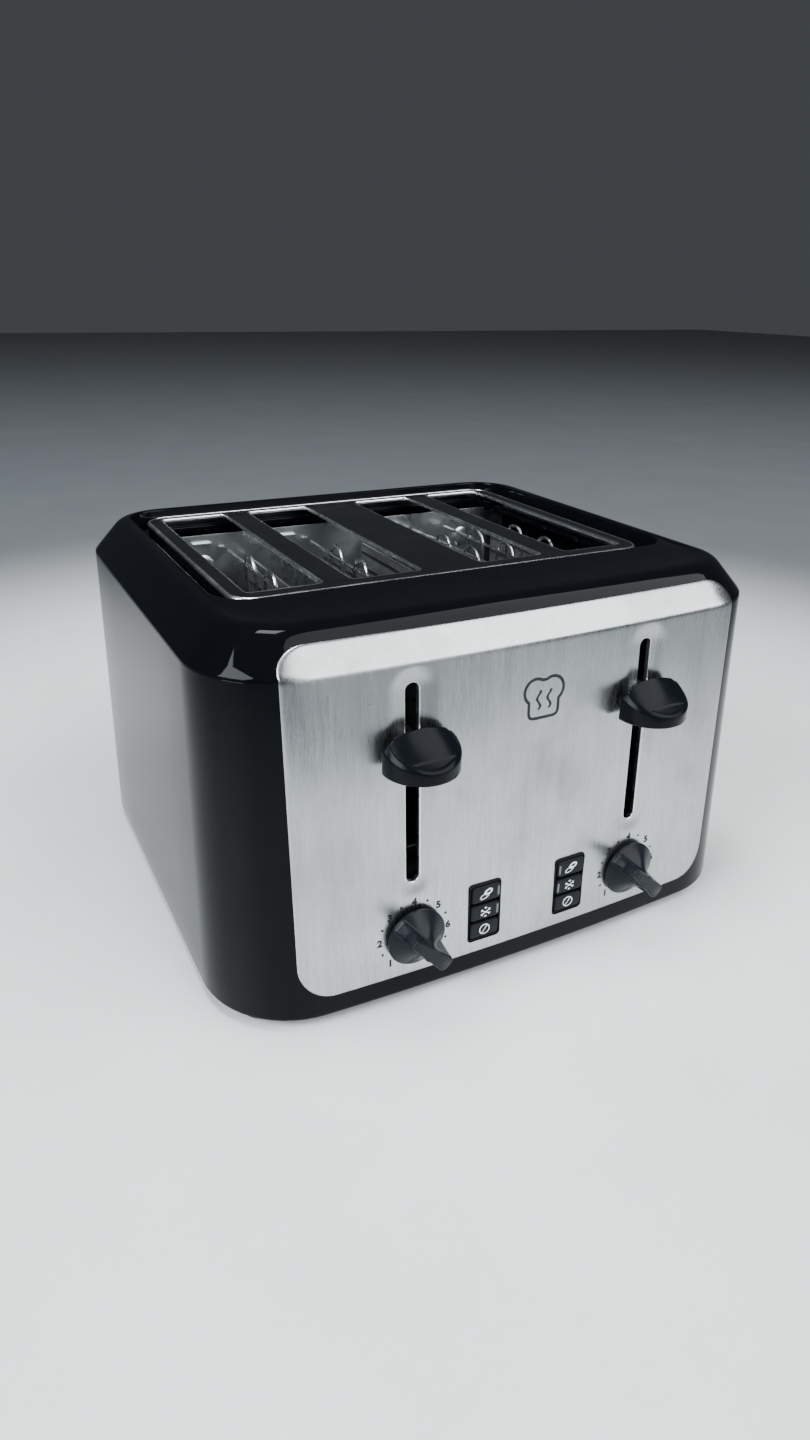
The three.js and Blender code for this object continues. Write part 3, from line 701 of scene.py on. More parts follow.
def fibre_effect() -> bpy.types.NodeTree:
    """Flaky sheet: uneven scales, as of mica or of spangled coating. The vector is in metres.

    Returns:
        The effect, made on first use.
    """
    if "Flakes" in _groups:
        return _groups["Flakes"]
    tree, n, given, end = effect("Flakes", {"Vector": None, "Size": 300.0}, ["Tone", "Height"])
    place = given["Vector"]
    cells = n.add("ShaderNodeTexVoronoi", {"Vector": place, "Scale": given["Size"]}, feature="SMOOTH_F1")
    scales = n.math("MULTIPLY", cells.outputs["Distance"], 0.6)
    tree.links.new(
        n.math("ADD", scales, n.math("MULTIPLY", n.noise(place, 400.0, 3.0), 0.5)), end.inputs["Tone"]
    )
    tree.links.new(n.noise(place, 900.0, 2.0), end.inputs["Height"])
    return tree


# ---------- finishes ----------
SPECK_TONE: Colour = (0.10, 0.10, 0.10)
DUST_TONE: Colour = (0.25, 0.25, 0.25)
_materials: dict[object, bpy.types.Material] = {}


@dataclass(frozen=True)
class Finish:
    """A finish: builds its material once and hands it out."""

    def material(self) -> bpy.types.Material:
        """Builds the material on first use.

        Returns:
            The material.
        """
        if self not in _materials:
            material = bpy.data.materials.new(type(self).__name__ + f"_{len(_materials)}")
            material.use_nodes = True
            material.node_tree.nodes.clear()
            nodes = Nodes(material.node_tree)
            shader = nodes.add("ShaderNodeBsdfPrincipled")
            out = nodes.add("ShaderNodeOutputMaterial")
            material.node_tree.links.new(shader.outputs[0], out.inputs[0])
            place = nodes.add("ShaderNodeTexCoord").outputs["Object"]
            self.dress(nodes, shader, place)
            _materials[self] = material
        return _materials[self]

    def dress(self, n: Nodes, shader: bpy.types.Node, place: bpy.types.NodeSocket) -> None:
        """Fills in the shader.

        Args:
            n: tools for the material's tree.
            shader: its Principled node.
            place: object coordinates in metres.
        """
        raise NotImplementedError


def feed(n: Nodes, shader: bpy.types.Node, **sockets: object) -> None:
    """Links sockets to the shader, or sets plain values; underscores stand for spaces.

    Args:
        n: tools for the material's tree.
        shader: its Principled node.
        sockets: input name to the socket or value that it gets.
    """
    for key, value in sockets.items():
        name = key.replace("_", " ")
        if isinstance(value, bpy.types.NodeSocket):
            n.tree.links.new(value, shader.inputs[name])
        else:
            shader.inputs[name].default_value = value


def bump(n: Nodes, height: bpy.types.NodeSocket, metres: float) -> bpy.types.NodeSocket:
    """A normal from a height between 0 and 1 that stands for a depth in metres."""
    return n.add("ShaderNodeBump", {"Strength": 1.0, "Distance": metres, "Height": height}).outputs[0]


class Grain(Enum):
    """Direction of a brushed grain, as stretch along x, y and z."""

    UPRIGHT = (2600.0, 2600.0, 26.0)
    LENGTHWISE = (2400.0, 30.0, 2400.0)
    ACROSS = (30.0, 2400.0, 2400.0)


@dataclass(frozen=True)
class BrushedSteel(Finish):
    """Stainless steel with a directional grain, smudges and a few specks."""

    grain: Grain = Grain.UPRIGHT
    dark: Colour = (0.27, 0.285, 0.29)
    light: Colour = (0.58, 0.60, 0.60)
    smooth: float = 0.23
    rough: float = 0.31
    depth: float = 0.000003
    anisotropy: float = 0.5
    smudge: float = 0.14
    specks: float = 0.75
    stain: float = 0.55
    film: Colour = (0.24, 0.25, 0.25)

    def dress(self, n: Nodes, shader: bpy.types.Node, place: bpy.types.NodeSocket) -> None:
        """Streaks drive colour, roughness and bump; marks dull them.

        Args:
            n: tools for the material's tree.
            shader: its Principled node.
            place: object coordinates in metres.
        """
        grain = n.group(grain_effect(), {"Vector": n.stretched(place, self.grain.value), "Contrast": 1.5})
        marks = n.group(marks_effect(), {"Vector": place, "Speck Scale": 260.0, "Speck Size": 0.055})
        base = n.blend(grain.outputs["Streak"], rgba(self.dark), rgba(self.light))
        dotted = n.math("MULTIPLY", marks.outputs["Specks"], self.specks)
        handled = n.blend(n.math("MULTIPLY", marks.outputs["Smudge"], self.stain), base, rgba(self.film))
        colour = n.blend(dotted, handled, rgba(SPECK_TONE))
        rough = n.span(grain.outputs["Streak"], 0.3, 0.7, self.smooth, self.rough)
        dulled = n.math("ADD", rough, n.math("MULTIPLY", marks.outputs["Smudge"], self.smudge))
        feed(
            n, shader, Base_Color=colour, Metallic=1.0, Roughness=dulled,
            Normal=bump(n, grain.outputs["Height"], self.depth)
        )
        shader.inputs["Anisotropic"].default_value = self.anisotropy
        axis = {"UPRIGHT": "Z", "LENGTHWISE": "Y", "ACROSS": "X"}[self.grain.name]
        tangent = n.add("ShaderNodeTangent", direction_type="RADIAL", axis=axis)
        n.tree.links.new(tangent.outputs[0], shader.inputs["Tangent"])


@dataclass(frozen=True)
class Plastic(Finish):
    """Moulded plastic, from piano gloss to fine matt."""

    colour: Colour = (0.0016, 0.0021, 0.0030)
    tint: Colour = (0.0030, 0.0036, 0.0048)
    smooth: float = 0.02
    rough: float = 0.05
    depth: float = 0.0000008
    grain: float = 2600.0
    smudge: float = 0.05
    dust: float = 0.25
    shine: float = 0.09

    def dress(self, n: Nodes, shader: bpy.types.Node, place: bpy.types.NodeSocket) -> None:
        """Tone varies slowly, smudges dull the gloss and dust sits on it as pale specks.

        Args:
            n: tools for the material's tree.
            shader: its Principled node.
            place: object coordinates in metres.
        """
        mould = n.group(mould_effect(), {"Vector": place, "Grain": self.grain})
        marks = n.group(marks_effect(), {"Vector": place, "Speck Scale": 420.0, "Speck Size": 0.05})
        base = n.blend(mould.outputs["Tone"], rgba(self.colour), rgba(self.tint))
        dusty = n.math("MULTIPLY", marks.outputs["Specks"], self.dust)
        colour = n.blend(dusty, base, rgba(DUST_TONE))
        rough = n.span(mould.outputs["Tone"], 0.3, 0.7, self.smooth, self.rough)
        dulled = n.math("ADD", rough, n.math("MULTIPLY", marks.outputs["Smudge"], self.smudge))
        feed(
            n, shader, Base_Color=colour, Roughness=dulled,
            Normal=bump(n, mould.outputs["Height"], self.depth)
        )
        shader.inputs["IOR"].default_value = 1.46
        shader.inputs["Specular IOR Level"].default_value = self.shine


@dataclass(frozen=True)
class Metal(Finish):
    """Plated wire, bright sheet or bare metal with slight tarnish."""

    colour: Colour = (0.55, 0.55, 0.54)
    tarnish: Colour = (0.30, 0.27, 0.23)
    smooth: float = 0.18
    rough: float = 0.34
    spots: float = 90.0
    stain: float = 0.5
    depth: float = 0.00001

    def dress(self, n: Nodes, shader: bpy.types.Node, place: bpy.types.NodeSocket) -> None:
        """Tarnish gathers in clouds, which are duller too.

        Args:
            n: tools for the material's tree.
            shader: its Principled node.
            place: object coordinates in metres.
        """
        cloud = n.span(n.noise(place, self.spots, 5.0, 0.65), 0.42, 0.7, 0.0, 1.0, True)
        flakes = n.group(fibre_effect(), {"Vector": place, "Size": self.spots * 4})
        colour = n.blend(n.math("MULTIPLY", cloud, self.stain), rgba(self.colour), rgba(self.tarnish))
        rough = n.math(
            "ADD", n.span(cloud, 0, 1, self.smooth, self.rough),
            n.math("MULTIPLY", flakes.outputs["Tone"], 0.08)
        )
        feed(
            n, shader, Base_Color=colour, Metallic=1.0, Roughness=rough,
            Normal=bump(n, flakes.outputs["Height"], self.depth)
        )


@dataclass(frozen=True)
class Flaky(Finish):
    """Mica sheet or a lacquered board: mottled, faintly layered."""

    dark: Colour = (0.045, 0.047, 0.045)
    light: Colour = (0.11, 0.115, 0.11)
    size: float = 260.0
    rough: float = 0.5
    metallic: float = 0.0

    def dress(self, n: Nodes, shader: bpy.types.Node, place: bpy.types.NodeSocket) -> None:
        """Scales drive the colour and a shallow relief.

        Args:
            n: tools for the material's tree.
            shader: its Principled node.
            place: object coordinates in metres.
        """
        flakes = n.group(fibre_effect(), {"Vector": place, "Size": self.size})
        colour = n.blend(n.span(flakes.outputs["Tone"], 0.2, 0.8, 0.0, 1.0), rgba(self.dark), rgba(self.light))
        rough = n.span(flakes.outputs["Tone"], 0.2, 0.8, self.rough - 0.12, self.rough + 0.12)
        feed(n, shader, Base_Color=colour, Roughness=rough, Normal=bump(n, flakes.outputs["Height"], 0.00004))
        shader.inputs["Metallic"].default_value = self.metallic


@dataclass(frozen=True)
class Wound(Finish):
    """Enamelled winding: fine level turns of copper wire."""

    def dress(self, n: Nodes, shader: bpy.types.Node, place: bpy.types.NodeSocket) -> None:
        """Level bands at wire pitch give the turns.

        Args:
            n: tools for the material's tree.
            shader: its Principled node.
            place: object coordinates in metres.
        """
        wave = n.add(
            "ShaderNodeTexWave", {"Vector": place, "Scale": 900.0, "Distortion": 0.4}, bands_direction="Z"
        )
        colour = n.blend(wave.outputs[1], rgba((0.18, 0.06, 0.02)), rgba((0.60, 0.28, 0.12)))
        feed(
            n, shader, Base_Color=colour, Metallic=0.8, Roughness=n.span(wave.outputs[1], 0, 1, 0.45, 0.28),
            Normal=bump(n, wave.outputs[1], 0.0001)
        )


@dataclass(frozen=True)
class Ink(Finish):
    """Printed ink: flat colour broken by the print's fine unevenness."""

    colour: Colour = (0.93, 0.95, 0.97)
    worn: Colour = (0.82, 0.85, 0.88)
    shine: float = 0.1

    def dress(self, n: Nodes, shader: bpy.types.Node, place: bpy.types.NodeSocket) -> None:
        """Thin places in the print are a little darker.

        Args:
            n: tools for the material's tree.
            shader: its Principled node.
            place: object coordinates in metres.
        """
        thin = n.noise(place, 1500.0, 3.0, 0.6)
        colour = n.blend(n.span(thin, 0.35, 0.65, 0, 1), rgba(self.colour), rgba(self.worn))
        feed(n, shader, Base_Color=colour, Roughness=n.span(thin, 0.3, 0.7, 0.45, 0.6))
        shader.inputs["Specular IOR Level"].default_value = self.shine


@dataclass(frozen=True)
class Vinyl(Finish):
    """Cord and rubber: satin black with scuffs and a dusty bloom."""

    colour: Colour = (0.010, 0.010, 0.011)
    bloom: Colour = (0.035, 0.035, 0.037)
    rough: float = 0.42

    def dress(self, n: Nodes, shader: bpy.types.Node, place: bpy.types.NodeSocket) -> None:
        """Bloom in clouds; fine ripples from extrusion.

        Args:
            n: tools for the material's tree.
            shader: its Principled node.
            place: object coordinates in metres.
        """
        mould = n.group(mould_effect(), {"Vector": place, "Grain": 3200.0})
        cloud = n.span(n.noise(place, 70.0, 5.0, 0.7), 0.4, 0.75, 0.0, 1.0, True)
        colour = n.blend(cloud, rgba(self.colour), rgba(self.bloom))
        rough = n.math("ADD", self.rough, n.math("MULTIPLY", cloud, 0.18))
        feed(n, shader, Base_Color=colour, Roughness=rough, Normal=bump(n, mould.outputs["Height"], 0.00002))


@dataclass(frozen=True)
class Counter(Finish):
    """Pale plain floor with a barely visible mottle, with painted shade darker far from the toaster and a
    painted shadow in front.
    """

    colour: Colour = (0.82, 0.84, 0.84)
    shade: Colour = (0.76, 0.78, 0.78)
    # painted shade: the floor darkens to this colour between near_reach and far_reach from the toaster
    far: Colour = (0.13, 0.14, 0.15)
    near_reach: float = 0.30
    far_reach: float = 0.80
    # painted shadow: a dark patch on the floor in front of the toaster, round this place, fading out between
    # these two distances
    painted_shadow_place: tuple[float, float, float] = (0.0, -0.66, 0.0)
    painted_shadow_near: float = 0.26
    painted_shadow_far: float = 0.34

    def dress(self, n: Nodes, shader: bpy.types.Node, place: bpy.types.NodeSocket) -> None:
        """A soft mottle in colour and roughness; painted shade darkens the tone far out, and a painted shadow
        darkens a patch in front.

        Args:
            n: tools for the material's tree.
            shader: its Principled node.
            place: object coordinates in metres.
        """
        mottle = n.noise(place, 9.0, 4.0, 0.6)
        pale = n.blend(n.span(mottle, 0.35, 0.65, 0, 1), rgba(self.colour), rgba(self.shade))
        # painted shade: the floor fades to the dark colour far from the toaster
        away = n.add("ShaderNodeVectorMath", {0: place}, operation="LENGTH").outputs["Value"]
        rest = n.blend(n.span(away, self.near_reach, self.far_reach, 0, 1, True), pale, rgba(self.far))
        # painted shadow: a dark patch on the floor in front of the toaster
        apart = n.add(
            "ShaderNodeVectorMath", {0: place, 1: self.painted_shadow_place}, operation="DISTANCE"
        ).outputs["Value"]
        colour = n.blend(n.span(apart, self.painted_shadow_near, self.painted_shadow_far, 1, 0, True), rest, rgba(self.far))
        feed(n, shader, Base_Color=colour, Roughness=n.span(mottle, 0.3, 0.7, 0.38, 0.5))


PIANO = Plastic()
MOULDED = Plastic(
    colour=(0.014, 0.014, 0.015), tint=(0.022, 0.022, 0.023), smooth=0.5, rough=0.65, depth=0.00004,
    smudge=0.1, dust=0.5
)
SATIN = Plastic(
    colour=(0.0020, 0.0028, 0.0040), tint=(0.0040, 0.0052, 0.0070), smooth=0.14, rough=0.20, depth=0.000003,
    grain=3400.0, smudge=0.07, dust=0.15, shine=0.08
)
# painted light: the knobs' satin black made lighter, so the dial reads as lit on its faces towards the light
PAINTED_LIGHTER_DIAL_PLASTIC = Plastic(
    colour=(0.0055, 0.0070, 0.0095), tint=(0.0085, 0.0105, 0.0140), smooth=0.20, rough=0.27, depth=0.000003,
    grain=3400.0, smudge=0.07, dust=0.15, shine=0.14
)
KEY_PLASTIC = Plastic(
    colour=(0.0045, 0.0058, 0.0080), tint=(0.0075, 0.0095, 0.0125), smooth=0.34, rough=0.44, depth=0.000008,
    shine=0.12, grain=3800.0, smudge=0.1, dust=0.2
)
RECESS = Plastic(
    colour=(0.006, 0.006, 0.007), tint=(0.010, 0.010, 0.011), smooth=0.5, rough=0.6, depth=0.00002, dust=0.1
)
LENS = Plastic(
    colour=(0.10, 0.11, 0.12), tint=(0.14, 0.15, 0.16), smooth=0.10, rough=0.18, depth=0.000002, smudge=0.04,
    dust=0.1
)
PANEL_STEEL = BrushedSteel()
# painted highlight: a lighter copy of the panel's steel for the lever slot lips
PAINTED_HIGHLIGHT_LIP_STEEL = BrushedSteel(
    dark=(0.58, 0.60, 0.61), light=(0.74, 0.76, 0.77), smooth=0.16, rough=0.26, anisotropy=0.2, specks=0.0,
    stain=0.0
)
PLATE_STEEL = BrushedSteel(
    grain=Grain.ACROSS, dark=(0.12, 0.13, 0.145), light=(0.18, 0.195, 0.21), smooth=0.12, rough=0.20,
    depth=0.0000008, anisotropy=0.4, smudge=0.08, specks=0.4, stain=0.2
)
# painted highlight: a much lighter copy of the slot plate's steel, so its rolled rim and slot lips read as lit
# edges
PAINTED_HIGHLIGHT_RIM_STEEL = BrushedSteel(
    grain=Grain.ACROSS, dark=(0.74, 0.76, 0.78), light=(0.88, 0.90, 0.92), smooth=0.20, rough=0.27,
    depth=0.0000006, anisotropy=0.1, specks=0.0, stain=0.0
)
SHEET = Metal(
    colour=(0.64, 0.68, 0.69), tarnish=(0.38, 0.41, 0.42), smooth=0.24, rough=0.38, spots=40.0, stain=0.55
)
NICKEL = Metal(
    colour=(0.60, 0.62, 0.62), tarnish=(0.30, 0.29, 0.28), smooth=0.16, rough=0.32, spots=110.0, stain=0.6
)
RIBBON = Metal(
    colour=(0.22, 0.23, 0.23), tarnish=(0.11, 0.10, 0.10), smooth=0.3, rough=0.45, spots=200.0, stain=0.7
)
BLADE = Metal(
    colour=(0.72, 0.70, 0.66), tarnish=(0.50, 0.44, 0.34), smooth=0.14, rough=0.28, spots=160.0, stain=0.4
)
MICA_SHEET = Flaky()
BOARD = Flaky(dark=(0.02, 0.09, 0.04), light=(0.05, 0.17, 0.08), size=500.0, rough=0.35)
WINDING = Wound()
ICON_INK = Ink()
PANEL_INK = Ink(colour=(0.008, 0.009, 0.011), worn=(0.025, 0.027, 0.030))
MARK_INK = Ink(colour=(0.012, 0.014, 0.018), worn=(0.035, 0.038, 0.044))
VINYL = Vinyl()
RUBBER = Vinyl(colour=(0.012, 0.012, 0.012), bloom=(0.045, 0.044, 0.043), rough=0.7)
COUNTER = Counter()


# ---------- stage ----------
@dataclass
class Stage:
    """Floor, light and camera."""

    camera_place: tuple[float, float, float] = (-0.2115, -0.396225, 0.2888)
    lens: float = 22.68
    pitch: float = 25.495
    heading: float = 27.932
    roll: float = 1.033
    floor_half: float = 6.0

    def build(self) -> None:
        """Makes the camera, the lights and the floor."""
        self.build_camera()
        self.build_light()
        self.build_floor()

    def build_camera(self) -> None:
        """Aims the camera: heading from +Y towards +X, pitch downwards, roll about the view."""
        camera = bpy.data.cameras.new("camera")
        camera.lens = self.lens
        camera.sensor_width = 36.0
        camera.clip_start = 0.01
        obj = bpy.data.objects.new("camera", camera)
        turn = Matrix.Rotation(-math.radians(self.heading), 4, "Z")
        tip = Matrix.Rotation(math.radians(90 - self.pitch), 4, "X")
        lean = Matrix.Rotation(math.radians(self.roll), 4, "Z")
        obj.matrix_world = Matrix.Translation(self.camera_place) @ turn @ tip @ lean
        bpy.context.scene.collection.objects.link(obj)
        bpy.context.scene.camera = obj

    def build_light(self) -> None:
        """A dim cool surround, a window on the left, a ceiling panel, a small lamp overhead, a faint fill."""
        world = bpy.data.worlds.new("surround")
        world.use_nodes = True
        sky = world.node_tree.nodes["Background"]
        sky.inputs[0].default_value = (0.80, 0.88, 0.96, 1.0)
        sky.inputs[1].default_value = 0.07
        bpy.context.scene.world = world
        self.lamp("window_light", (-1.9, -0.5, 1.5), (0.0, 0.0, 0.1), 1.2, 84.0, (0.90, 0.96, 1.0))
        self.lamp("ceiling_light", (1.3, -1.7, 2.1), (0.0, 0.0, 0.0), 3.0, 160.0, (0.96, 0.98, 1.0))
        self.lamp("top_light", (-0.25, 0.25, 2.4), (0.0, 0.0, 0.1), 0.7, 40.0, (0.95, 0.98, 1.0))
        self.lamp("room_light", (0.5, -2.6, 0.9), (0.0, 0.0, 0.2), 1.8, 12.0, (0.94, 0.97, 1.0))

    def lamp(
        self, name: str, place: Sequence[float], aim: Sequence[float], size: float, power: float,
        colour: Colour
    ) -> None:
        """Adds a square area light.

        Args:
            name: its name.
            place: where it stands, in metres.
            aim: the point that it faces.
            size: side in metres.
            power: watts.
            colour: its colour.
        """
        light = bpy.data.lights.new(name, "AREA")
        light.size, light.energy, light.color = size, power, colour
        obj = bpy.data.objects.new(name, light)
        away = np.array(place) - np.array(aim)
        heading = math.atan2(away[0], -away[1])
        tip = math.atan2(math.hypot(away[0], away[1]), away[2])
        obj.matrix_world = (
            Matrix.Translation(place) @ Matrix.Rotation(heading, 4, "Z") @ Matrix.Rotation(tip, 4, "X")
        )
        bpy.context.scene.collection.objects.link(obj)

    def build_floor(self) -> None:
        """A level pale floor just under the toaster, with painted shade far out and a painted shadow in front.
        """
        mesh = bpy.data.meshes.new("counter")
        h = self.floor_half
        mesh.from_pydata([(-h, -h, 0.0), (h, -h, 0.0), (h, h, 0.0), (-h, h, 0.0)], [], [(0, 1, 2, 3)])
        floor = bpy.data.objects.new("counter", mesh)
        floor.data.materials.append(COUNTER.material())
        bpy.context.scene.collection.objects.link(floor)


# ---------- mains cord ----------
@dataclass
class MainsCord:
    """Strain relief, flat two-core cord in a two-layer coil behind the toaster, and its plug."""

    width: float = 7.0
    thickness: float = 4.0
    rest_z: float = 2.1
    layer: float = 4.2
    exit: tuple[float, float, float] = (-92.0, 281.0, 15.5)
    lead: tuple[tuple[float, float], ...] = (
        (285, 15.2), (290, 14.3), (296, 12.3), (303, 9.0), (310, 5.6), (316, 3.3), (322, 2.1)
    )
    coil_centre: tuple[float, float] = (-38.0, 328.0)
    coil_entry: float = 54.0
    coil_outer: float = 43.5
    coil_inner: float = 36.9
    tail: tuple[tuple[float, float], ...] = ((322, 2.1), (316, 2.6), (311, 3.4))
    plug_x: float = 16.0
    plug_y: tuple[float, float] = (283.4, 310.4)
    plug_half: float = 12.0
    plug_top: float = 13.0
    plug_corner: float = 5.0
    ridge_ys: tuple[float, ...] = (12.0, 15.2, 18.4)
    ridge_half: float = 7.0
    blade_reach: float = 16.0
    boot_start: float = 261.7
    boot_end: float = 280.4
    boot_ribs: int = 7
    blade_gap: float = 6.35
    blade_heights: tuple[float, float] = (3.4, 9.7)
    samples: int = 300

    def build(self) -> None:
        self.build_boot()
        path = self.path()
        cord = tube(path, self.section()).build("mains_cord", sharp=60)
        settle(cord, CHASSIS, VINYL, ("power_cord_lead", "cord_coil", "power_cord_tail"))
        plug = self.build_plug()
        blades = self.build_blades()

    def coil(self) -> np.ndarray:
        """The coil's own line, in five stages.

        In each stage the angle falls steadily, while radius and height go from the last stage's
        end to this one's, eased where a turn begins, climbs or leaves.

        Returns:
            (n, 3) points.
        """
        stages = (
            (120, self.coil_outer, self.rest_z, True),
            (330, self.coil_inner, self.rest_z, False),
            (70, self.coil_inner, self.rest_z + self.layer, True),
            (310, self.coil_outer, self.rest_z + self.layer, False),
            (70, self.coil_entry, self.rest_z, True),
        )
        angle, radius, z = 180.0, self.coil_entry, self.rest_z
        parts = []
        for turned, end_radius, end_z, eased in stages:
            t = np.linspace(0, 1, turned // 5 + 1)[1:]
            e = smooth_step(t) if eased else t
            a = np.radians(angle - turned * t)
            r = radius + (end_radius - radius) * e
            cx, cy = self.coil_centre
            parts.append(np.stack([cx + r * np.cos(a), cy + r * np.sin(a), z + (end_z - z) * e], 1))
            angle, radius, z = angle - turned, end_radius, end_z
        return np.concatenate(parts)

    def path(self) -> np.ndarray:
        """The cord's whole middle line, evenly spaced and slightly relaxed.

        Returns:
            (samples, 3) points from the boot to the plug.
        """
        x = self.exit[0]
        start = np.array([self.exit] + [(x, y, z) for y, z in self.lead])
        end = np.array([(self.plug_x, y, z) for y, z in self.tail])
        rough = np.concatenate([start, [(x, self.coil_centre[1], self.rest_z)], self.coil(), end])
        line = evenly(rough, self.samples)
        inner = line.copy()
        for _ in range(3):
            inner[1:-1] = 0.25 * inner[:-2] + 0.5 * inner[1:-1] + 0.25 * inner[2:]
        return evenly(inner, self.samples)

    def section(self) -> np.ndarray:
        """Two round cores side by side, joined by a thinner web that is filled out towards them.

        Outside the cores' middles the half-thickness is that of a circle about the nearer core.

        Returns:
            (n, 2) outline, width first.
        """
        a = np.arange(36) * TAU / 36
        core = self.thickness / 2
        offset = self.width / 2 - core
        x = np.cos(a) * self.width / 2
        y = np.sqrt(np.clip(core**2 - (np.abs(x) - offset) ** 2, 0, None))
        web = 0.66 * core
        middle = np.abs(x) < offset
        y = np.where(middle, web + (core - web) * smooth_step(np.abs(x) / offset), y)
        return np.stack([x, np.sign(np.sin(a).round(9)) * y], 1)

    def build_boot(self) -> None:
        """Tapered boot with seven flat-topped ribs, from a clipped sine, and a collar on the wall."""
        y = np.linspace(self.boot_start, self.boot_end, 85)
        taper = np.interp(y, (self.boot_start, self.boot_end), (5.0, 3.9))
        along = (y - self.boot_start) / (self.boot_end - self.boot_start)
        ribs = 0.45 * np.clip(np.sin(along * self.boot_ribs * TAU - 1.2) * 3, -1, 1)
        body = list(zip(taper + ribs - 0.3, y))
        profile = [
            (0, 254.6), (4.6, 254.6), (4.6, 259.15), (6.4, 259.15), (7.0, 259.5), (7.15, 260.2), (6.9, 261.1),
            (6.2, 261.6)
        ]
        profile += body + [(3.2, 280.65), (0, 280.65)]
        boot = lathe(profile, (self.exit[0], 0, self.exit[2]), "y", 40).build("cord_boot", sharp=50)
        settle(boot, CHASSIS, VINYL, ("strain_relief",))

    def build_plug(self) -> bpy.types.Object:
        """Flat plug body: rounded slab with soft edges, and three grip ridges on its upper face.

        Returns:
            The plug body.
        """
        y0, y1 = self.plug_y
        x0, x1, top = self.plug_x - self.plug_half, self.plug_x + self.plug_half, self.plug_top
        low = [(1.6, 0.1), (0.6, 0.35), (0.1, 1.0), (0.0, 2.0)]
        high = [(0.0, top - 1.8), (0.1, top - 0.8), (0.6, top - 0.2), (1.6, top)]
        loops = []
        for inset, z in low + high:
            corner = self.plug_corner - 0.6 * inset
            loops.append((rounded_loop(x0 + inset, y0 + inset, x1 - inset, y1 - inset, corner, 8, 4), z))
        ridges = []
        for y in y0 + np.array(self.ridge_ys):
            left, right = self.plug_x - self.ridge_half, self.plug_x + self.ridge_half
            root = rounded_loop(left, y, right, y + 1.3, 0.6)
            crest = rounded_loop(left + 0.3, y + 0.3, right - 0.3, y + 1.0, 0.3)
            ridges.append(plan_rings([(root, top - 0.4), (crest, top - 0.02)]))
        plug = Shape.joined([plan_rings(loops)] + ridges).build("plug_body", sharp=40)
        return settle(plug, CHASSIS, VINYL, ("plug",))

    def build_blades(self) -> bpy.types.Object:
        """Two flat blades with rounded tips: outline in y and z, given a thickness in x.

        Returns:
            Both blades, as one piece.
        """
        tip, root = self.plug_y[0] - self.blade_reach, self.plug_y[0] + 0.4
        low, high = self.blade_heights
        outline = rounded_loop(tip, low, root, high, 1.6, 5, 2)
        plates = []
        for side in SIDES.values():
            x = self.plug_x + side * self.blade_gap
            sheets = []
            for dx, inset in ((-0.75, 0.25), (-0.6, 0.0), (0.6, 0.0), (0.75, 0.25)):
                sheets.append(np.column_stack([np.full(len(outline), x + dx), offset_loop(outline, -inset)]))
            plates.append(rings(sheets))
        blades = Shape.joined(plates).build("plug_blades")
        return settle(blades, CHASSIS, BLADE)


def evenly(points: np.ndarray, count: int) -> np.ndarray:
    """The same line with its points spaced evenly along it.

    Args:
        points: (n, 3) points.
        count: how many points it gets.

    Returns:
        (count, 3) points.
    """
    run = np.concatenate([[0], np.cumsum(np.linalg.norm(np.diff(points, axis=0), axis=1))])
    s = np.linspace(0, run[-1], count)
    return np.stack([np.interp(s, run, points[:, k]) for k in range(3)], 1)


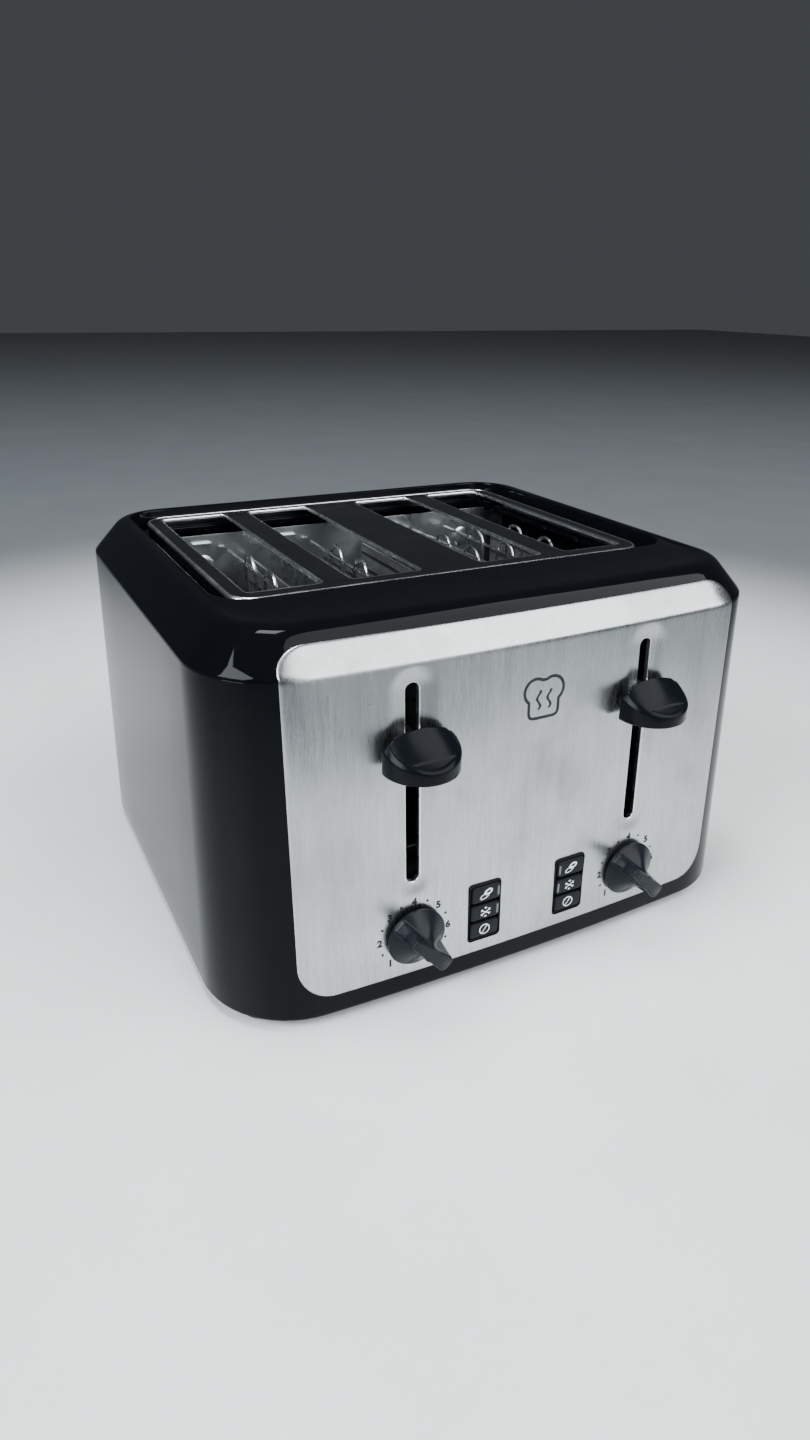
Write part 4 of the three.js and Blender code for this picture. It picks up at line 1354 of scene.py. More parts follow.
# ---------- housing ----------
@dataclass
class Housing:
    """Body shell and top bezel in piano black, with the base plate and feet."""

    form: HousingForm = field(default_factory=HousingForm)
    seam: float = 158.9
    bottom: float = 5.5
    wall: float = 2.5
    top: float = 175.4
    dish: float = 0.6
    well_floor: float = 165.5
    shell_margin: float = 1.0
    shell_slot_margin: float = 10.5
    cut_from: float = -12.0
    cut_to: float = 30.0
    dial_hole: float = 4.5
    boot_hole: float = 5.5
    tray_windows: tuple[float, ...] = (-85.0, 5.0)
    tray_width: float = 80.0
    tray_heights: tuple[float, float] = (15.0, 25.0)
    foot_x: float = 121.0
    foot_ys: tuple[tuple[str, float], ...] = (("front", 27.0), ("rear", 230.0))

    def build(self) -> None:
        """Makes shell, bezel and feet, and dresses the base plate."""
        self.build_shell()
        self.build_bezel()
        self.build_feet()
        dress_node("base_plate", MOULDED)

    def build_shell(self) -> None:
        """Ring of outlines up the outside and down the inside, with the openings cut through."""
        outside = [
            (self.bottom + rise, inset) for rise, inset in ((0.0, 1.0), (0.25, 0.4), (0.8, 0.08), (1.7, 0.0))
        ]
        outside += [(z, 0.0) for z in (20, 45, 70, 95, 120, 145, 157)]
        outside += [(self.seam - 0.15, 0.0), (self.seam, 0.12)]
        inside = [(self.seam, self.wall), (80, self.wall), (self.bottom, self.wall)]
        shell = plan_rings(
            [(self.form.loop(z, inset), z) for z, inset in outside + inside], closed=True
        ).build("body_shell_skin")
        cut(shell, self.front_cuts(self.shell_margin, self.shell_slot_margin) + self.rear_cuts())
        settle(shell, CHASSIS, PIANO, ("body_shell",))

    def front_cuts(self, margin: float, slot_margin: float) -> list[Shape]:
        """Lever slots, button windows and dial holes, each larger by a margin.

        Args:
            margin: for the button windows and the dial holes.
            slot_margin: for the lever slots.

        Returns:
            The cutting shapes.
        """
        cuts = []
        for side in SIDES.values():
            outlines = (
                offset_loop(LeverKnob.slot_loop(side), slot_margin),
                offset_loop(ButtonGroup.window_loop(side), margin),
                circle(self.dial_hole + margin, 24) + (side * BrowningDial.x, BrowningDial.height),
            )
            cuts += [front_prism(outline, self.cut_from, self.cut_to) for outline in outlines]
        return cuts

    def rear_cuts(self) -> list[Shape]:
        """Crumb tray windows and the hole for the cord's boot.

        Returns:
            The cutting shapes.
        """
        d = self.form.depth
        low, high = self.tray_heights
        cuts = [block(x, d - 20, low, x + self.tray_width, d + 5, high) for x in self.tray_windows]
        x, _, z = MainsCord.exit
        return cuts + [front_prism(circle(self.boot_hole, 24) + (x, z), d - 20, d + 5)]

    def build_bezel(self) -> None:
        """Ring section: crease, chamfer, rounded crest, dished margin, well, throat and underside."""
        f = self.form
        crease_rings = (
            (self.seam + 0.06, 0.0, self.seam + 0.06), (159.3, 0.02, 159.3), (159.75, 0.07, 159.75),
            (160.15, 0.22, 160.15), (160.45, 0.45, 160.45)
        )
        profile = [(f.loop(z, inset), at) for z, inset, at in crease_rings]
        slope = (f.chamfer_top - f.crease) / f.chamfer_inset
        chamfer = [(i, f.crease + slope * i) for i in (0.85, 3.0, 6.0, 9.0, 10.6)]
        crest = [
            (11.3, 172.45), (12.2, 173.3), (13.3, 174.1), (14.6, 174.75), (16.0, 175.15), (17.4, 175.36),
            (18.8, self.top)
        ]
        profile += [(f.loop(f.chamfer_top, i), z) for i, z in chamfer + crest]
        rim = f.loop(f.chamfer_top, 18.8)
        lip = self.well(1.1)
        for t in (0.12, 0.25, 0.4, 0.55, 0.7, 0.85, 0.94):
            mid = rim * (1 - t) + lip * t
            margin = np.linalg.norm(rim - lip, axis=1)
            z = self.top - self.dish * np.sin(math.pi * t) * smooth_step((margin - 4) / 24)
            profile.append((mid, z))
        lip_edge = ((1.1, self.top), (0.55, 175.25), (0.15, 174.85), (0.0, 174.2))
        wall = ((0.0, 166.6), (-0.3, 165.9), (-1.0, self.well_floor))
        profile += [(self.well(out), z) for out, z in lip_edge + wall]
        profile += [(self.throat(out), z) for out, z in ((0.4, self.well_floor), (0.0, 165.1), (0.0, 163.1))]
        profile += [(self.well(2.3), 163.1), (self.well(2.3), 172.9)]
        profile += [
            (f.loop(f.chamfer_top, 17.6), 172.8), (f.loop(f.chamfer_top, 13.5), 171.3),
            (f.loop(f.crease, 2.9), 160.0), (f.loop(self.seam, 2.9), self.seam + 0.06)
        ]
        layers = [np.column_stack([loop, np.broadcast_to(z, len(loop))]) for loop, z in profile]
        bezel = rings(layers, closed=True).build("top_bezel_skin")
        settle(bezel, CHASSIS, PIANO, ("top_bezel",))

    def well(self, out: float) -> np.ndarray:
        """Outline of the well, moved outwards."""
        return plan_loop(116.5 + out, 63 - out, 235 + out, 16 + out)

    def throat(self, out: float) -> np.ndarray:
        """Outline of the opening under the slot plate, moved outwards."""
        return plan_loop(104.3 + out, 75.5 - out, 227.5 + out, 8 + out)

    def build_feet(self) -> None:
        """Each foot is turned: a ribbed tread, a waist and a flange."""
        profile = [
            (0, 0.35), (6.3, 0.35), (6.5, 0.02), (8.1, 0.02), (8.5, 0.4), (8.7, 2.0), (8.5, 2.3), (8.7, 2.6),
            (9.2, 4.6), (9.9, 5.2), (10.0, 6.1), (9.6, 6.2), (0, 6.2)
        ]
        for end, y in self.foot_ys:
            for name, side in SIDES.items():
                foot = lathe(profile, (side * self.foot_x, y, 0), "z", 40).build(f"foot_{end}_{name}_rubber")
                settle(foot, CHASSIS, RUBBER, (f"foot_{end}_{name}",))


# ---------- front panel ----------
@dataclass
class FrontPanel:
    """Steel panel wrapped over the front, its openings' lips, the printed marks."""

    form: HousingForm = field(default_factory=HousingForm)
    half: float = 111.3
    bottom: float = 15.2
    top: float = 170.0
    low_corner: float = 17.0
    top_wide: float = 13.0
    top_tall: float = 9.6
    proud: float = 0.5
    roll: float = 1.1
    crease_spread: tuple[float, ...] = (-1.2, -0.6, 0.0, 0.6, 1.2)
    dimple_depth: float = 1.4
    dimple_reach: float = 11.5
    emblem_place: tuple[float, float] = (3.0, 134.0)
    emblem_size: float = 9.4

    def build(self) -> None:
        """Makes the sheet, the lips and the prints."""
        self.build_sheet()
        self.build_lips()
        self.build_prints()
        self.build_emblem()

    def half_width(self, z: np.ndarray) -> np.ndarray:
        """Half width at a height: circular corners below, elliptical corners above.

        Args:
            z: heights.

        Returns:
            Half of the width at each.
        """
        low = np.clip(self.bottom + self.low_corner - z, 0, self.low_corner)
        cut_low = self.low_corner - np.sqrt(self.low_corner**2 - low**2)
        high = np.clip(z - (self.top - self.top_tall), 0, self.top_tall)
        cut_top = self.top_wide * (1 - np.sqrt(1 - (high / self.top_tall) ** 2))
        return self.half - cut_low - cut_top

    def edge_distance(self, x: np.ndarray, z: np.ndarray) -> np.ndarray:
        """Distance in from the panel's outline, measured to the sides, ends and corner curves.

        Args:
            x: distances from the middle.
            z: heights.

        Returns:
            The distance at each point, 0 or more.
        """
        x = np.abs(x)
        flat = np.minimum(np.minimum(self.half - x, z - self.bottom), self.top - z)
        px, pz = x - (self.half - self.low_corner), self.bottom + self.low_corner - z
        low = self.low_corner - np.hypot(px, pz)
        qx, qz = x - (self.half - self.top_wide), z - (self.top - self.top_tall)
        top = (1 - np.hypot(qx / self.top_wide, qz / self.top_tall)) * self.top_tall
        flat = np.where((px > 0) & (pz > 0), low, flat)
        return np.clip(np.where((qx > 0) & (qz > 0), top, flat), 0, None)

    def dimple(self, x: np.ndarray, z: np.ndarray) -> np.ndarray:
        """Pressed hollow round each lever slot: depth falls smoothly with distance from its line.

        Args:
            x: distances from the middle.
            z: heights.

        Returns:
            The depth at each point.
        """
        low, high = LeverKnob.slot_bottom + 3, LeverKnob.slot_top - 3
        away = np.hypot(np.abs(x) - LeverKnob.x, z - np.clip(z, low, high))
        return self.dimple_depth * smooth_step((self.dimple_reach - away) / (self.dimple_reach - 2.5))

    def surface(self, x: np.ndarray, z: np.ndarray) -> np.ndarray:
        """y of the panel's face, without the rolled edge.

        It follows the front's mean over a short height, which rounds the crease.

        Args:
            x: distances from the middle.
            z: heights.

        Returns:
            y at each point.
        """
        front = sum(self.form.front_y(x, z + dz) for dz in self.crease_spread) / len(self.crease_spread)
        return front - self.proud + self.dimple(x, z)

    def build_sheet(self) -> None:
        """Grid over width and height: x = s * half_width(z), y = face + rolled edge, and a back."""
        edge = np.array([0, 0.06, 0.2, 0.45, 0.8, 1.3, 2.0])
        crease = self.form.crease
        rows = (
            np.linspace(self.bottom + 3, crease - 2.4, 118), np.linspace(crease - 2, crease + 2, 17),
            np.linspace(crease + 2.6, self.top - 3, 6)
        )
        z = np.concatenate([self.bottom + edge, *rows, self.top - edge[::-1]])
        width = self.half_width(z)[:, None]
        s = np.linspace(-1, 1, 163)[None, :]
        inner = s * (width - 3)
        left = -width + edge[None, :]
        x = np.concatenate([left, inner, -left[:, ::-1]], 1)
        zz = np.broadcast_to(z[:, None], x.shape)
        d = np.clip(self.edge_distance(x, zz) / self.roll, 0, 1)
        curl = 1 - np.sqrt(1 - (1 - d) ** 2)
        face = self.surface(x, zz) + (self.proud - 0.06) * curl
        back = self.surface(x, zz) + self.proud - 0.02
        rows, cols = x.shape
        front_points = np.stack([x, face, zz], -1).reshape(-1, 3)
        back_points = np.stack([x, back, zz], -1).reshape(-1, 3)
        n = rows * cols
        number = np.arange(n).reshape(rows, cols)
        border = np.concatenate([number[0], number[1:, -1], number[-1, -2::-1], number[-2:0:-1, 0]])
        after = np.roll(border, -1)
        walls = np.stack([border, after, after + n, border + n], 1)
        faces = np.concatenate([grid_faces(rows, cols), grid_faces(rows, cols, start=n)[:, ::-1], walls])
        points = np.concatenate([front_points, back_points])
        sheet = Shape(points, faces.tolist()).build("front_panel_sheet", sharp=40)
        cut(sheet, Housing().front_cuts(0.0, 0.5), sharp=40)
        settle(sheet, CHASSIS, PANEL_STEEL, ("front_panel",))

    def frame_round(self, loop: np.ndarray, section: Sequence[tuple[float, float]]) -> Shape:
        """A lip round an opening: each section point is (distance outwards, depth below the face).

        Args:
            loop: the opening's outline in x and z.
            section: closed section.

        Returns:
            The ring.
        """
        layers = []
        for out, depth in section:
            ring = offset_loop(loop, out)
            x, z = ring.T
            layers.append(np.column_stack([x, self.surface(x, z) + depth, z]))
        return rings(layers, closed=True)

    def build_lips(self) -> None:
        """Turned-in edges of the lever slots, painted brighter than the panel as a highlight where the sheet
        bends.
        """
        section = (
            (0.75, 0.03), (0.62, -0.02), (0.45, -0.02), (0.25, 0.06), (0.1, 0.22), (0.0, 0.5), (-0.03, 0.9),
            (-0.03, 2.6), (0.5, 2.6), (0.6, 0.7)
        )
        for name, side in SIDES.items():
            ring = self.frame_round(LeverKnob.slot_loop(side, 10, 40), section)
            lip = ring.build(f"lever_slot_lip_{name}", sharp=60)
            # painted highlight: the lip is the panel's steel made lighter
            settle(lip, CHASSIS, PAINTED_HIGHLIGHT_LIP_STEEL)

    def printed(self, name: str, flat: Shape, finish: Finish) -> None:
        """Lays a print on the face: the shape's y is its distance above it.

        Args:
            name: name of the piece.
            flat: shape in x and z, y = 0 at its underside.
            finish: its ink.
        """
        p = flat.points
        p[:, 1] = self.surface(p[:, 0], p[:, 2]) + p[:, 1]
        piece = flat.build(name, smooth=False)
        settle(piece, CHASSIS, finish)

    def build_prints(self) -> None:
        """Numbers 1 to 7 round each dial at 45 degrees, with a dot between each two."""
        ring = BrowningDial.number_ring
        for name, side in SIDES.items():
            centre = np.array([side * BrowningDial.x, BrowningDial.height])
            parts = []
            for k in range(7):
                a = math.radians(225 - 45 * k)
                parts.append(numeral(str(k + 1), centre + ring * np.array([math.cos(a), math.sin(a)])))
            for k in range(6):
                a = math.radians(202.5 - 45 * k)
                dot = circle(0.62, 14) + centre + ring * np.array([math.cos(a), math.sin(a)])
                parts.append(front_prism(dot, -0.03, -0.005))
            self.printed(f"dial_numbers_{name}", Shape.joined(parts), PANEL_INK)

    def build_emblem(self) -> None:
        """A plain slice of bread, drawn as a closed line of even width, with two wavy heat lines.

        The outline's radius at angle a is the greatest of the body's, a rounded oblong, and those of
        two round lobes that make the crust's shoulders.
        """
        a = np.arange(180) * TAU / 180
        c, s = np.cos(a), np.sin(a)
        reach = ((np.abs(c) / 0.80) ** 7 + (np.abs(s) / 0.90) ** 7) ** (-1 / 7)
        lobe, lobe_radius = 0.60, 0.60
        for lean in (0.72, math.pi - 0.72):
            inside = np.clip(lobe_radius**2 - (lobe * np.sin(a - lean)) ** 2, 0, None)
            reach = np.maximum(reach, lobe * np.cos(a - lean) + np.sqrt(inside))
        loop = self.emblem_place + self.emblem_size * np.stack([reach * c, reach * s], 1)
        outer, inner = offset_loop(loop, 0.7), offset_loop(loop, -0.7)
        edges = ((outer, -0.005), (outer, -0.03), (inner, -0.03), (inner, -0.005))
        layers = [np.column_stack([line[:, 0], np.full(len(line), y), line[:, 1]]) for line, y in edges]
        parts = [rings(layers, closed=True)]
        z = self.emblem_place[1] + np.linspace(-0.5, 0.42, 24) * self.emblem_size
        for x in (-0.28, 0.28):
            middle = self.emblem_place[0] + (x + 0.09 * np.sin((z - z[0]) * 0.95)) * self.emblem_size
            corners = ((-0.65, -0.03), (0.65, -0.03), (0.65, -0.005), (-0.65, -0.005))
            parts.append(
                rings([np.array([(m + dx, y, height) for dx, y in corners]) for m, height in zip(middle, z)])
            )
        self.printed("bread_mark", Shape.joined(parts), MARK_INK)


def numeral(text: str, centre: np.ndarray, size: float = 4.7) -> Shape:
    """A printed numeral as a thin solid in x and z.

    Args:
        text: the digit.
        centre: its middle.
        size: letter size in millimetres.

    Returns:
        The shape; y runs from -0.03 to -0.005.
    """
    curve = bpy.data.curves.new("digit", "FONT")
    curve.body = text
    curve.size = size
    curve.resolution_u = 4
    curve.extrude = 0.0125
    curve.offset = 0.24
    holder = bpy.data.objects.new("digit", curve)
    bpy.context.scene.collection.objects.link(holder)
    mesh = bpy.data.meshes.new_from_object(holder.evaluated_get(bpy.context.evaluated_depsgraph_get()))
    points = np.empty(len(mesh.vertices) * 3)
    mesh.vertices.foreach_get("co", points)
    points = points.reshape(-1, 3)
    faces = [list(p.vertices) for p in mesh.polygons]
    bpy.data.objects.remove(holder)
    bpy.data.curves.remove(curve)
    bpy.data.meshes.remove(mesh)
    middle = (points.max(0) + points.min(0)) / 2
    x, z = points[:, 0] - middle[0] + centre[0], points[:, 1] - middle[1] + centre[1]
    return Shape(np.stack([x, -0.0175 - points[:, 2], z], 1), faces)


# ---------- controls ----------
@dataclass
class LeverKnob:
    """D-shaped lever knob: sloped hollow thumb face, sloping shoulders, straight side."""

    side_name: str = "left"
    x: float = 58.3
    slot_bottom: float = 61.0
    slot_top: float = 151.0
    slot_half: float = 3.0
    radius: float = 16.3
    centre_y: float = 1.3
    back_y: float = 2.4
    bottom: float = 117.8
    top: float = 134.8
    lip: float = 123.2
    shoulder_z: float = 128.1
    hollow: float = 0.55
    crown_radius: float = 33.0
    recess: float = 0.2
    around: int = 160
    inward: int = 34

    @classmethod
    def slot_loop(cls, side: int, arc: int = 10, run: int = 1) -> np.ndarray:
        """Outline of the slot that the lever runs in."""
        x, half = side * cls.x, cls.slot_half
        return rounded_loop(x - half, cls.slot_bottom, x + half, cls.slot_top, half - 0.02, arc, run)

    def build(self) -> None:
        """Makes the knob and rides it on its lift."""
        sign = SIDES[self.side_name]
        outline = self.outline()
        edge_z = self.edge_height(outline)
        f = np.concatenate([[0.0], np.linspace(0.05, 0.93, self.inward), [0.955, 0.975, 0.99]])
        hub = np.array([0.0, -4.6])
        layers = []
        for t in f:
            ring = hub + (outline - hub) * t
            layers.append(
                np.column_stack(
                    [ring, self.face_height(ring, edge_z, (1 - t) * np.linalg.norm(outline - hub, axis=1))]
                )
            )
        layers.append(np.column_stack([outline, edge_z - 0.25]))
        for inset, z in ((0.0, None), (0.0, self.bottom + 0.8), (0.12, self.bottom + 0.3), (0.5, self.bottom)):
            ring = offset_loop(outline, -inset)
            layers.append(np.column_stack([ring, edge_z - 0.9 if z is None else np.full(len(ring), z)]))
        layers.append(
            np.column_stack([np.broadcast_to(hub, outline.shape), np.full(len(outline), self.bottom)])
        )
        shape = rings(layers, caps=False)
        shape.points = shape.points + (sign * self.x, 0.0, 0.0)
        knob = shape.build(f"thumb_knob_{self.side_name}", sharp=38)
        settle(knob, f"lift_{self.side_name}", SATIN, (f"lever_knob_{self.side_name}",))

    def outline(self) -> np.ndarray:
        """D outline about the knob's middle: circle held in front of the flat back, corners eased.

        Returns:
            (n, 2) points in x and y.
        """
        a = np.linspace(0, TAU, self.around, endpoint=False) - math.pi / 2
        x, y = self.radius * np.cos(a), self.centre_y + self.radius * np.sin(a)
        squeeze = np.where(
            y > self.back_y, (self.back_y - self.centre_y) / np.maximum(y - self.centre_y, 1e-6), 1.0
        )
        flat = np.stack([x, np.minimum(y, self.back_y)], 1)
        flat[:, 0] *= np.where(squeeze < 1, 1 - 0.012 * (1 - squeeze), 1.0)
        return flat

    def edge_height(self, outline: np.ndarray) -> np.ndarray:
        """Height of the top of the side wall: high at the sides, lower towards the front.

        Args:
            outline: the D outline.

        Returns:
            The height at each of its points.
        """
        forward = np.clip((self.centre_y - outline[:, 1]) / self.radius, 0, 1)
        side = self.shoulder_z - (self.shoulder_z - self.lip) * (1 - (1 - forward) ** 1.25)
        along_back = np.clip(1 - np.abs(outline[:, 0]) / (self.radius * 0.985), 0, 1)
        back = self.shoulder_z + (self.top - 0.5 - self.shoulder_z) * np.minimum(along_back * 4.2, 1.0)
        return np.where(
            outline[:, 1] > self.back_y - 0.02,
            back - outline[:, 0] ** 2 / (2 * self.crown_radius) * np.minimum(along_back * 4.2, 1.0), side
        )

    def face_height(self, ring: np.ndarray, edge_z: np.ndarray, inside: np.ndarray) -> np.ndarray:
        """Height of the top at points of one ring.

        The face is a plane from the back's top to the front lip, hollowed by a sine and crowned at
        the back; the shoulder climbs at 49 degrees from the side wall; the lower one wins, rounded.
        A lens-shaped recess is pressed in near the lip.

        Args:
            ring: (n, 2) points in x and y.
            edge_z: top of the side wall behind each.
            inside: distance of each from the outline.

        Returns:
            The height at each point.
        """
        x, y = ring.T
        t = (self.back_y - y) / (self.back_y - self.centre_y + self.radius)
        face = self.top - (self.top - self.lip) * t - self.hollow * np.sin(math.pi * np.clip(t, 0, 1))
        face = face - (1 - np.clip(t, 0, 1)) * x**2 / (2 * self.crown_radius)
        shoulder = edge_z + 1.15 * inside
        height = smooth_min(face, shoulder, 0.45)
        reach = self.radius - np.hypot(x, y - self.centre_y)
        lens = smooth_step((-9.4 - y) / 0.7) * smooth_step((reach - 1.5) / 0.6)
        return height - self.recess * lens


@dataclass
class BrowningDial:
    """Dial: round skirt that flows up into a bar grip on the falling diagonal."""

    side_name: str = "left"
    x: float = 58.4
    height: float = 35.3
    back_y: float = 0.7
    number_ring: float = 16.5
    skirt: float = 13.8
    neck: float = 3.2
    depth: float = 14.65
    corner_power: float = 30.0
    around: int = 192

    def grip_radius(self, a: np.ndarray, widen: np.ndarray | float) -> np.ndarray:
        """Distance from the axis to the bar's outline at each angle.

        The bar is a convex outline given by its sides, each with a normal and a distance r_i along
        it; the outline's radius is (sum of (cos_i / r_i)^p)^(-1/p), which rounds the corners.

        Args:
            a: angles from the pointer's direction.
            widen: distance that every side is moved outwards.

        Returns:
            The distance at each angle.
        """
        taper = math.atan2(1.6, 21.2)
        sides = [
            (0.0, 12.3), (math.pi, 11.8), (math.pi / 2 + taper, 2.92), (-math.pi / 2 - taper, 2.92),
            (0.62, 11.3), (-0.62, 11.3), (1.05, 8.6), (-1.05, 8.6)
        ]
        total = np.zeros(np.broadcast(a, widen).shape)
        for normal, distance in sides:
            total += (np.maximum(np.cos(a - normal), 1e-3) / (distance + widen)) ** self.corner_power
        return total ** (-1 / self.corner_power)

    def build(self) -> None:
        """Makes the dial as rings from the panel outwards, closed at both ends."""
        sign = SIDES[self.side_name]
        a = np.arange(self.around) * TAU / self.around
        h = np.concatenate(
            [
                [0.0, 0.15, 0.9, 1.15], np.linspace(1.4, self.depth - 0.9, 26),
                self.depth - np.array([0.55, 0.3, 0.12, 0.02])
            ]
        )
        bell = self.neck + (self.skirt - self.neck) * np.clip(1 - (h - 1.15) / 11.5, 0, 1) ** 1.75
        bell = np.where(h <= 1.15, self.skirt - np.array([0.25] + [0.0] * (len(h) - 1)), bell)
        widen = 1.5 * np.clip(1 - h / self.depth, 0, 1) ** 1.5
        tuck = np.clip((h - (self.depth - 0.6)) / 0.6, 0, 1)
        edge = 0.6 * (1 - np.sqrt(1 - tuck**2))
        grip = self.grip_radius(a[None, :], (widen - edge)[:, None])
        grip = np.minimum(grip, np.maximum(self.skirt - 0.25 * h, 12.0)[:, None])
        reach = -smooth_min(-grip, -np.broadcast_to(bell[:, None], grip.shape), 1.1)
        reach = np.where((h <= 1.15)[:, None], bell[:, None], reach)
        r = np.concatenate([np.zeros((1, self.around)), reach, 0.5 * reach[-1:], np.zeros((1, self.around))])
        depth = np.concatenate([[0.0], h, [self.depth, self.depth]])[:, None]
        turn = a - math.pi / 4
        points = np.stack(
            [r * np.cos(turn), np.broadcast_to(self.back_y - depth, r.shape), r * np.sin(turn)], -1
        )
        points = points + (sign * self.x, 0.0, self.height)
        rows = len(r)
        shape = Shape(points.reshape(-1, 3), grid_faces(rows, self.around, wrap_cols=True).tolist())
        dial = shape.build(f"dial_grip_{self.side_name}", sharp=46)
        # painted light: the dial gets a lighter copy of the knobs' plastic
        settle(
            dial, f"dial_{self.side_name}", PAINTED_LIGHTER_DIAL_PLASTIC,
            (f"browning_dial_{self.side_name}",)
        )


class Key(Enum):
    """The three keys of a group, from the top."""

    BAGEL = 0
    FROZEN = 1
    CANCEL = 2


@dataclass
class ButtonGroup:
    """Three keys in a thin frame, with printed signs and light pipes."""

    side_name: str = "left"
    x: float = 23.2
    width: float = 17.2
    bottom: float = 21.1
    top: float = 51.7
    frame_rim: float = 0.7
    gap: float = 0.3
    key_gap: float = 0.95
    first_gap: float = 0.35
    proud: float = 1.5
    form: HousingForm = field(default_factory=HousingForm)

    @classmethod
    def window_loop(cls, side: int) -> np.ndarray:
        """Outline of the window in the panel."""
        return rounded_loop(
            side * cls.x - cls.width / 2, cls.bottom, side * cls.x + cls.width / 2, cls.top, 2.2, 6
        )

    def build(self) -> None:
        """Makes the frame and the keys."""
        side = SIDES[self.side_name]
        x = side * self.x
        face = float(self.form.front_y(np.array([x]), np.array([36.0]))[0])
        self.build_frame(x, face)
        pitch = (self.top - self.bottom - 2 * self.gap - 2 * self.frame_rim) / len(Key)
        for key in Key:
            high = self.top - self.gap - self.frame_rim - key.value * pitch
            self.build_key(
                key, side, x, face, high - pitch + self.key_gap,
                high - self.key_gap * (self.first_gap if key is Key.BAGEL else 1.0)
            )

    def build_frame(self, x: float, face: float) -> None:
        """Thin rounded frame with a soft front edge, its section carried round the window.

        Args:
            x: middle of the group.
            face: y of the panel there.
        """
        half, low, high = self.width / 2 - self.gap, self.bottom + self.gap, self.top - self.gap
        outer = rounded_loop(x - half, low, x + half, high, 2.0, 6)
        section = (
            (0.0, 12.6), (0.0, -0.5), (-0.12, -0.7), (-0.3, -0.78), (-0.5, -0.7), (-0.66, -0.45), (-0.7, 0.2),
            (-0.7, 12.6)
        )
        layers = []
        for out, depth in section:
            ring = offset_loop(outer, out)
            layers.append(np.column_stack([ring[:, 0], np.full(len(ring), face + depth), ring[:, 1]]))
        piece = rings(layers, closed=True).build(f"key_frame_{self.side_name}", sharp=50)
        settle(piece, CHASSIS, RECESS, (f"button_frame_{self.side_name}",))

    def build_key(self, key: Key, side: int, x: float, face: float, z0: float, z1: float) -> None:
        """A key: rounded outline, soft edge, crowned face: bulge = 0.25 * (1 - u^2)(1 - v^2).

        Args:
            key: which key.
            side: -1 on the left, 1 on the right.
            x: middle of the group.
            face: y of the panel there.
            z0, z1: lowest and highest point of the key.
        """
        half = self.width / 2 - 2 * self.gap - self.frame_rim
        layers = []
        for inset, depth in ((0.0, 8.8), (0.0, 0.4), (0.0, -0.9), (0.1, -1.2), (0.35, -1.42), (0.7, -1.5)):
            ring = rounded_loop(
                x - half + inset, z0 + inset, x + half - inset, z1 - inset, 1.3 - 0.4 * inset, 6, 6
            )
            layers.append(np.column_stack([ring[:, 0], np.full(len(ring), face + depth), ring[:, 1]]))
        last = layers[-1]
        middle = np.array([x, face, (z0 + z1) / 2])
        for t in (0.85, 0.65, 0.45, 0.25, 0.1, 0.0):
            ring = middle + (last - middle) * t
            ring[:, 1] = face + self.dip(ring[:, 0], ring[:, 2], x, z0, z1)
            layers.append(ring)
        stem = block(x - 1.9, face + 8.8, (z0 + z1) / 2 - 1.9, x + 1.9, 15.9, (z0 + z1) / 2 + 1.9)
        count, around = len(layers), len(last)
        faces = grid_faces(count, around, wrap_cols=True).tolist() + [list(range(around))[::-1]]
        shape = Shape.joined([Shape(np.concatenate(layers), faces), stem])
        word = key.name.lower()
        body = f"{word}_key_{self.side_name}"
        piece = shape.build(f"{word}_key_cap_{self.side_name}", sharp=50)
        settle(piece, body, KEY_PLASTIC, (f"{word}_button_{self.side_name}",))
        sign = self.sign(key)
        sign.points = self.laid(sign.points, x, face, z0, z1, (z0 + z1) / 2)
        icon = sign.build(f"{word}_sign_{self.side_name}", smooth=False)
        settle(icon, body, ICON_INK)
        if key is not Key.CANCEL:
            self.build_light_pipe(word, body, x - side * 6.3, x, face, z0, z1)

    def dip(self, px: np.ndarray, pz: np.ndarray, x: float, z0: float, z1: float) -> np.ndarray:
        """Depth of a key's face: crowned towards its middle.

        Args:
            px, pz: places on the face.
            x: middle of the key's width.
            z0, z1: lowest and highest point of the key.

        Returns:
            y of the face from the panel, at each place.
        """
        half = self.width / 2 - 2 * self.gap - self.frame_rim - 0.7
        u = np.clip((px - x) / half, -1, 1)
        v = np.clip((pz - (z0 + z1) / 2) / ((z1 - z0) / 2 - 0.7), -1, 1)
        return -1.5 - 0.1 * (1 - u**2) * (1 - v**2)

    def laid(
        self, points: np.ndarray, x: float, face: float, z0: float, z1: float, middle: float
    ) -> np.ndarray:
        """Carries a sign's points onto the key; their y is the distance above its face.

        Args:
            points: (n, 3) points about the sign's own middle.
            x: middle of the key's width.
            face: y of the panel there.
            z0, z1: lowest and highest point of the key.
            middle: height of the sign's middle.

        Returns:
            The points in the layout.
        """
        px, pz = points[:, 0] + x, points[:, 2] + middle
        return np.stack([px, face + self.dip(px, pz, x, z0, z1) + points[:, 1], pz], 1)

    def build_light_pipe(
        self, word: str, body: str, x: float, key_x: float, face: float, z0: float, z1: float
    ) -> None:
        """Small upright light pipe near the key's inner edge, rounded over its face.

        Args:
            word: the key's name.
            body: the body that it rides on.
            x: middle of the light pipe.
            key_x: middle of the key's width.
            face: y of the panel there.
            z0, z1: lowest and highest point of the key.
        """
        middle = (z0 + z1) / 2
        layers = []
        for inset, y in ((0.0, 0.4), (0.0, -0.06), (0.12, -0.14), (0.32, -0.17)):
            ring = rounded_loop(
                x - 0.55 + inset, middle - 2.5 + inset, x + 0.55 - inset, middle + 2.5 - inset,
                max(0.5 - inset, 0.12), 4
            )
            layers.append(
                np.column_stack(
                    [ring[:, 0], face + self.dip(ring[:, 0], ring[:, 1], key_x, z0, z1) + y, ring[:, 1]]
                )
            )
        piece = rings(layers).build(f"{word}_light_{self.side_name}", sharp=60)
        settle(piece, body, LENS)

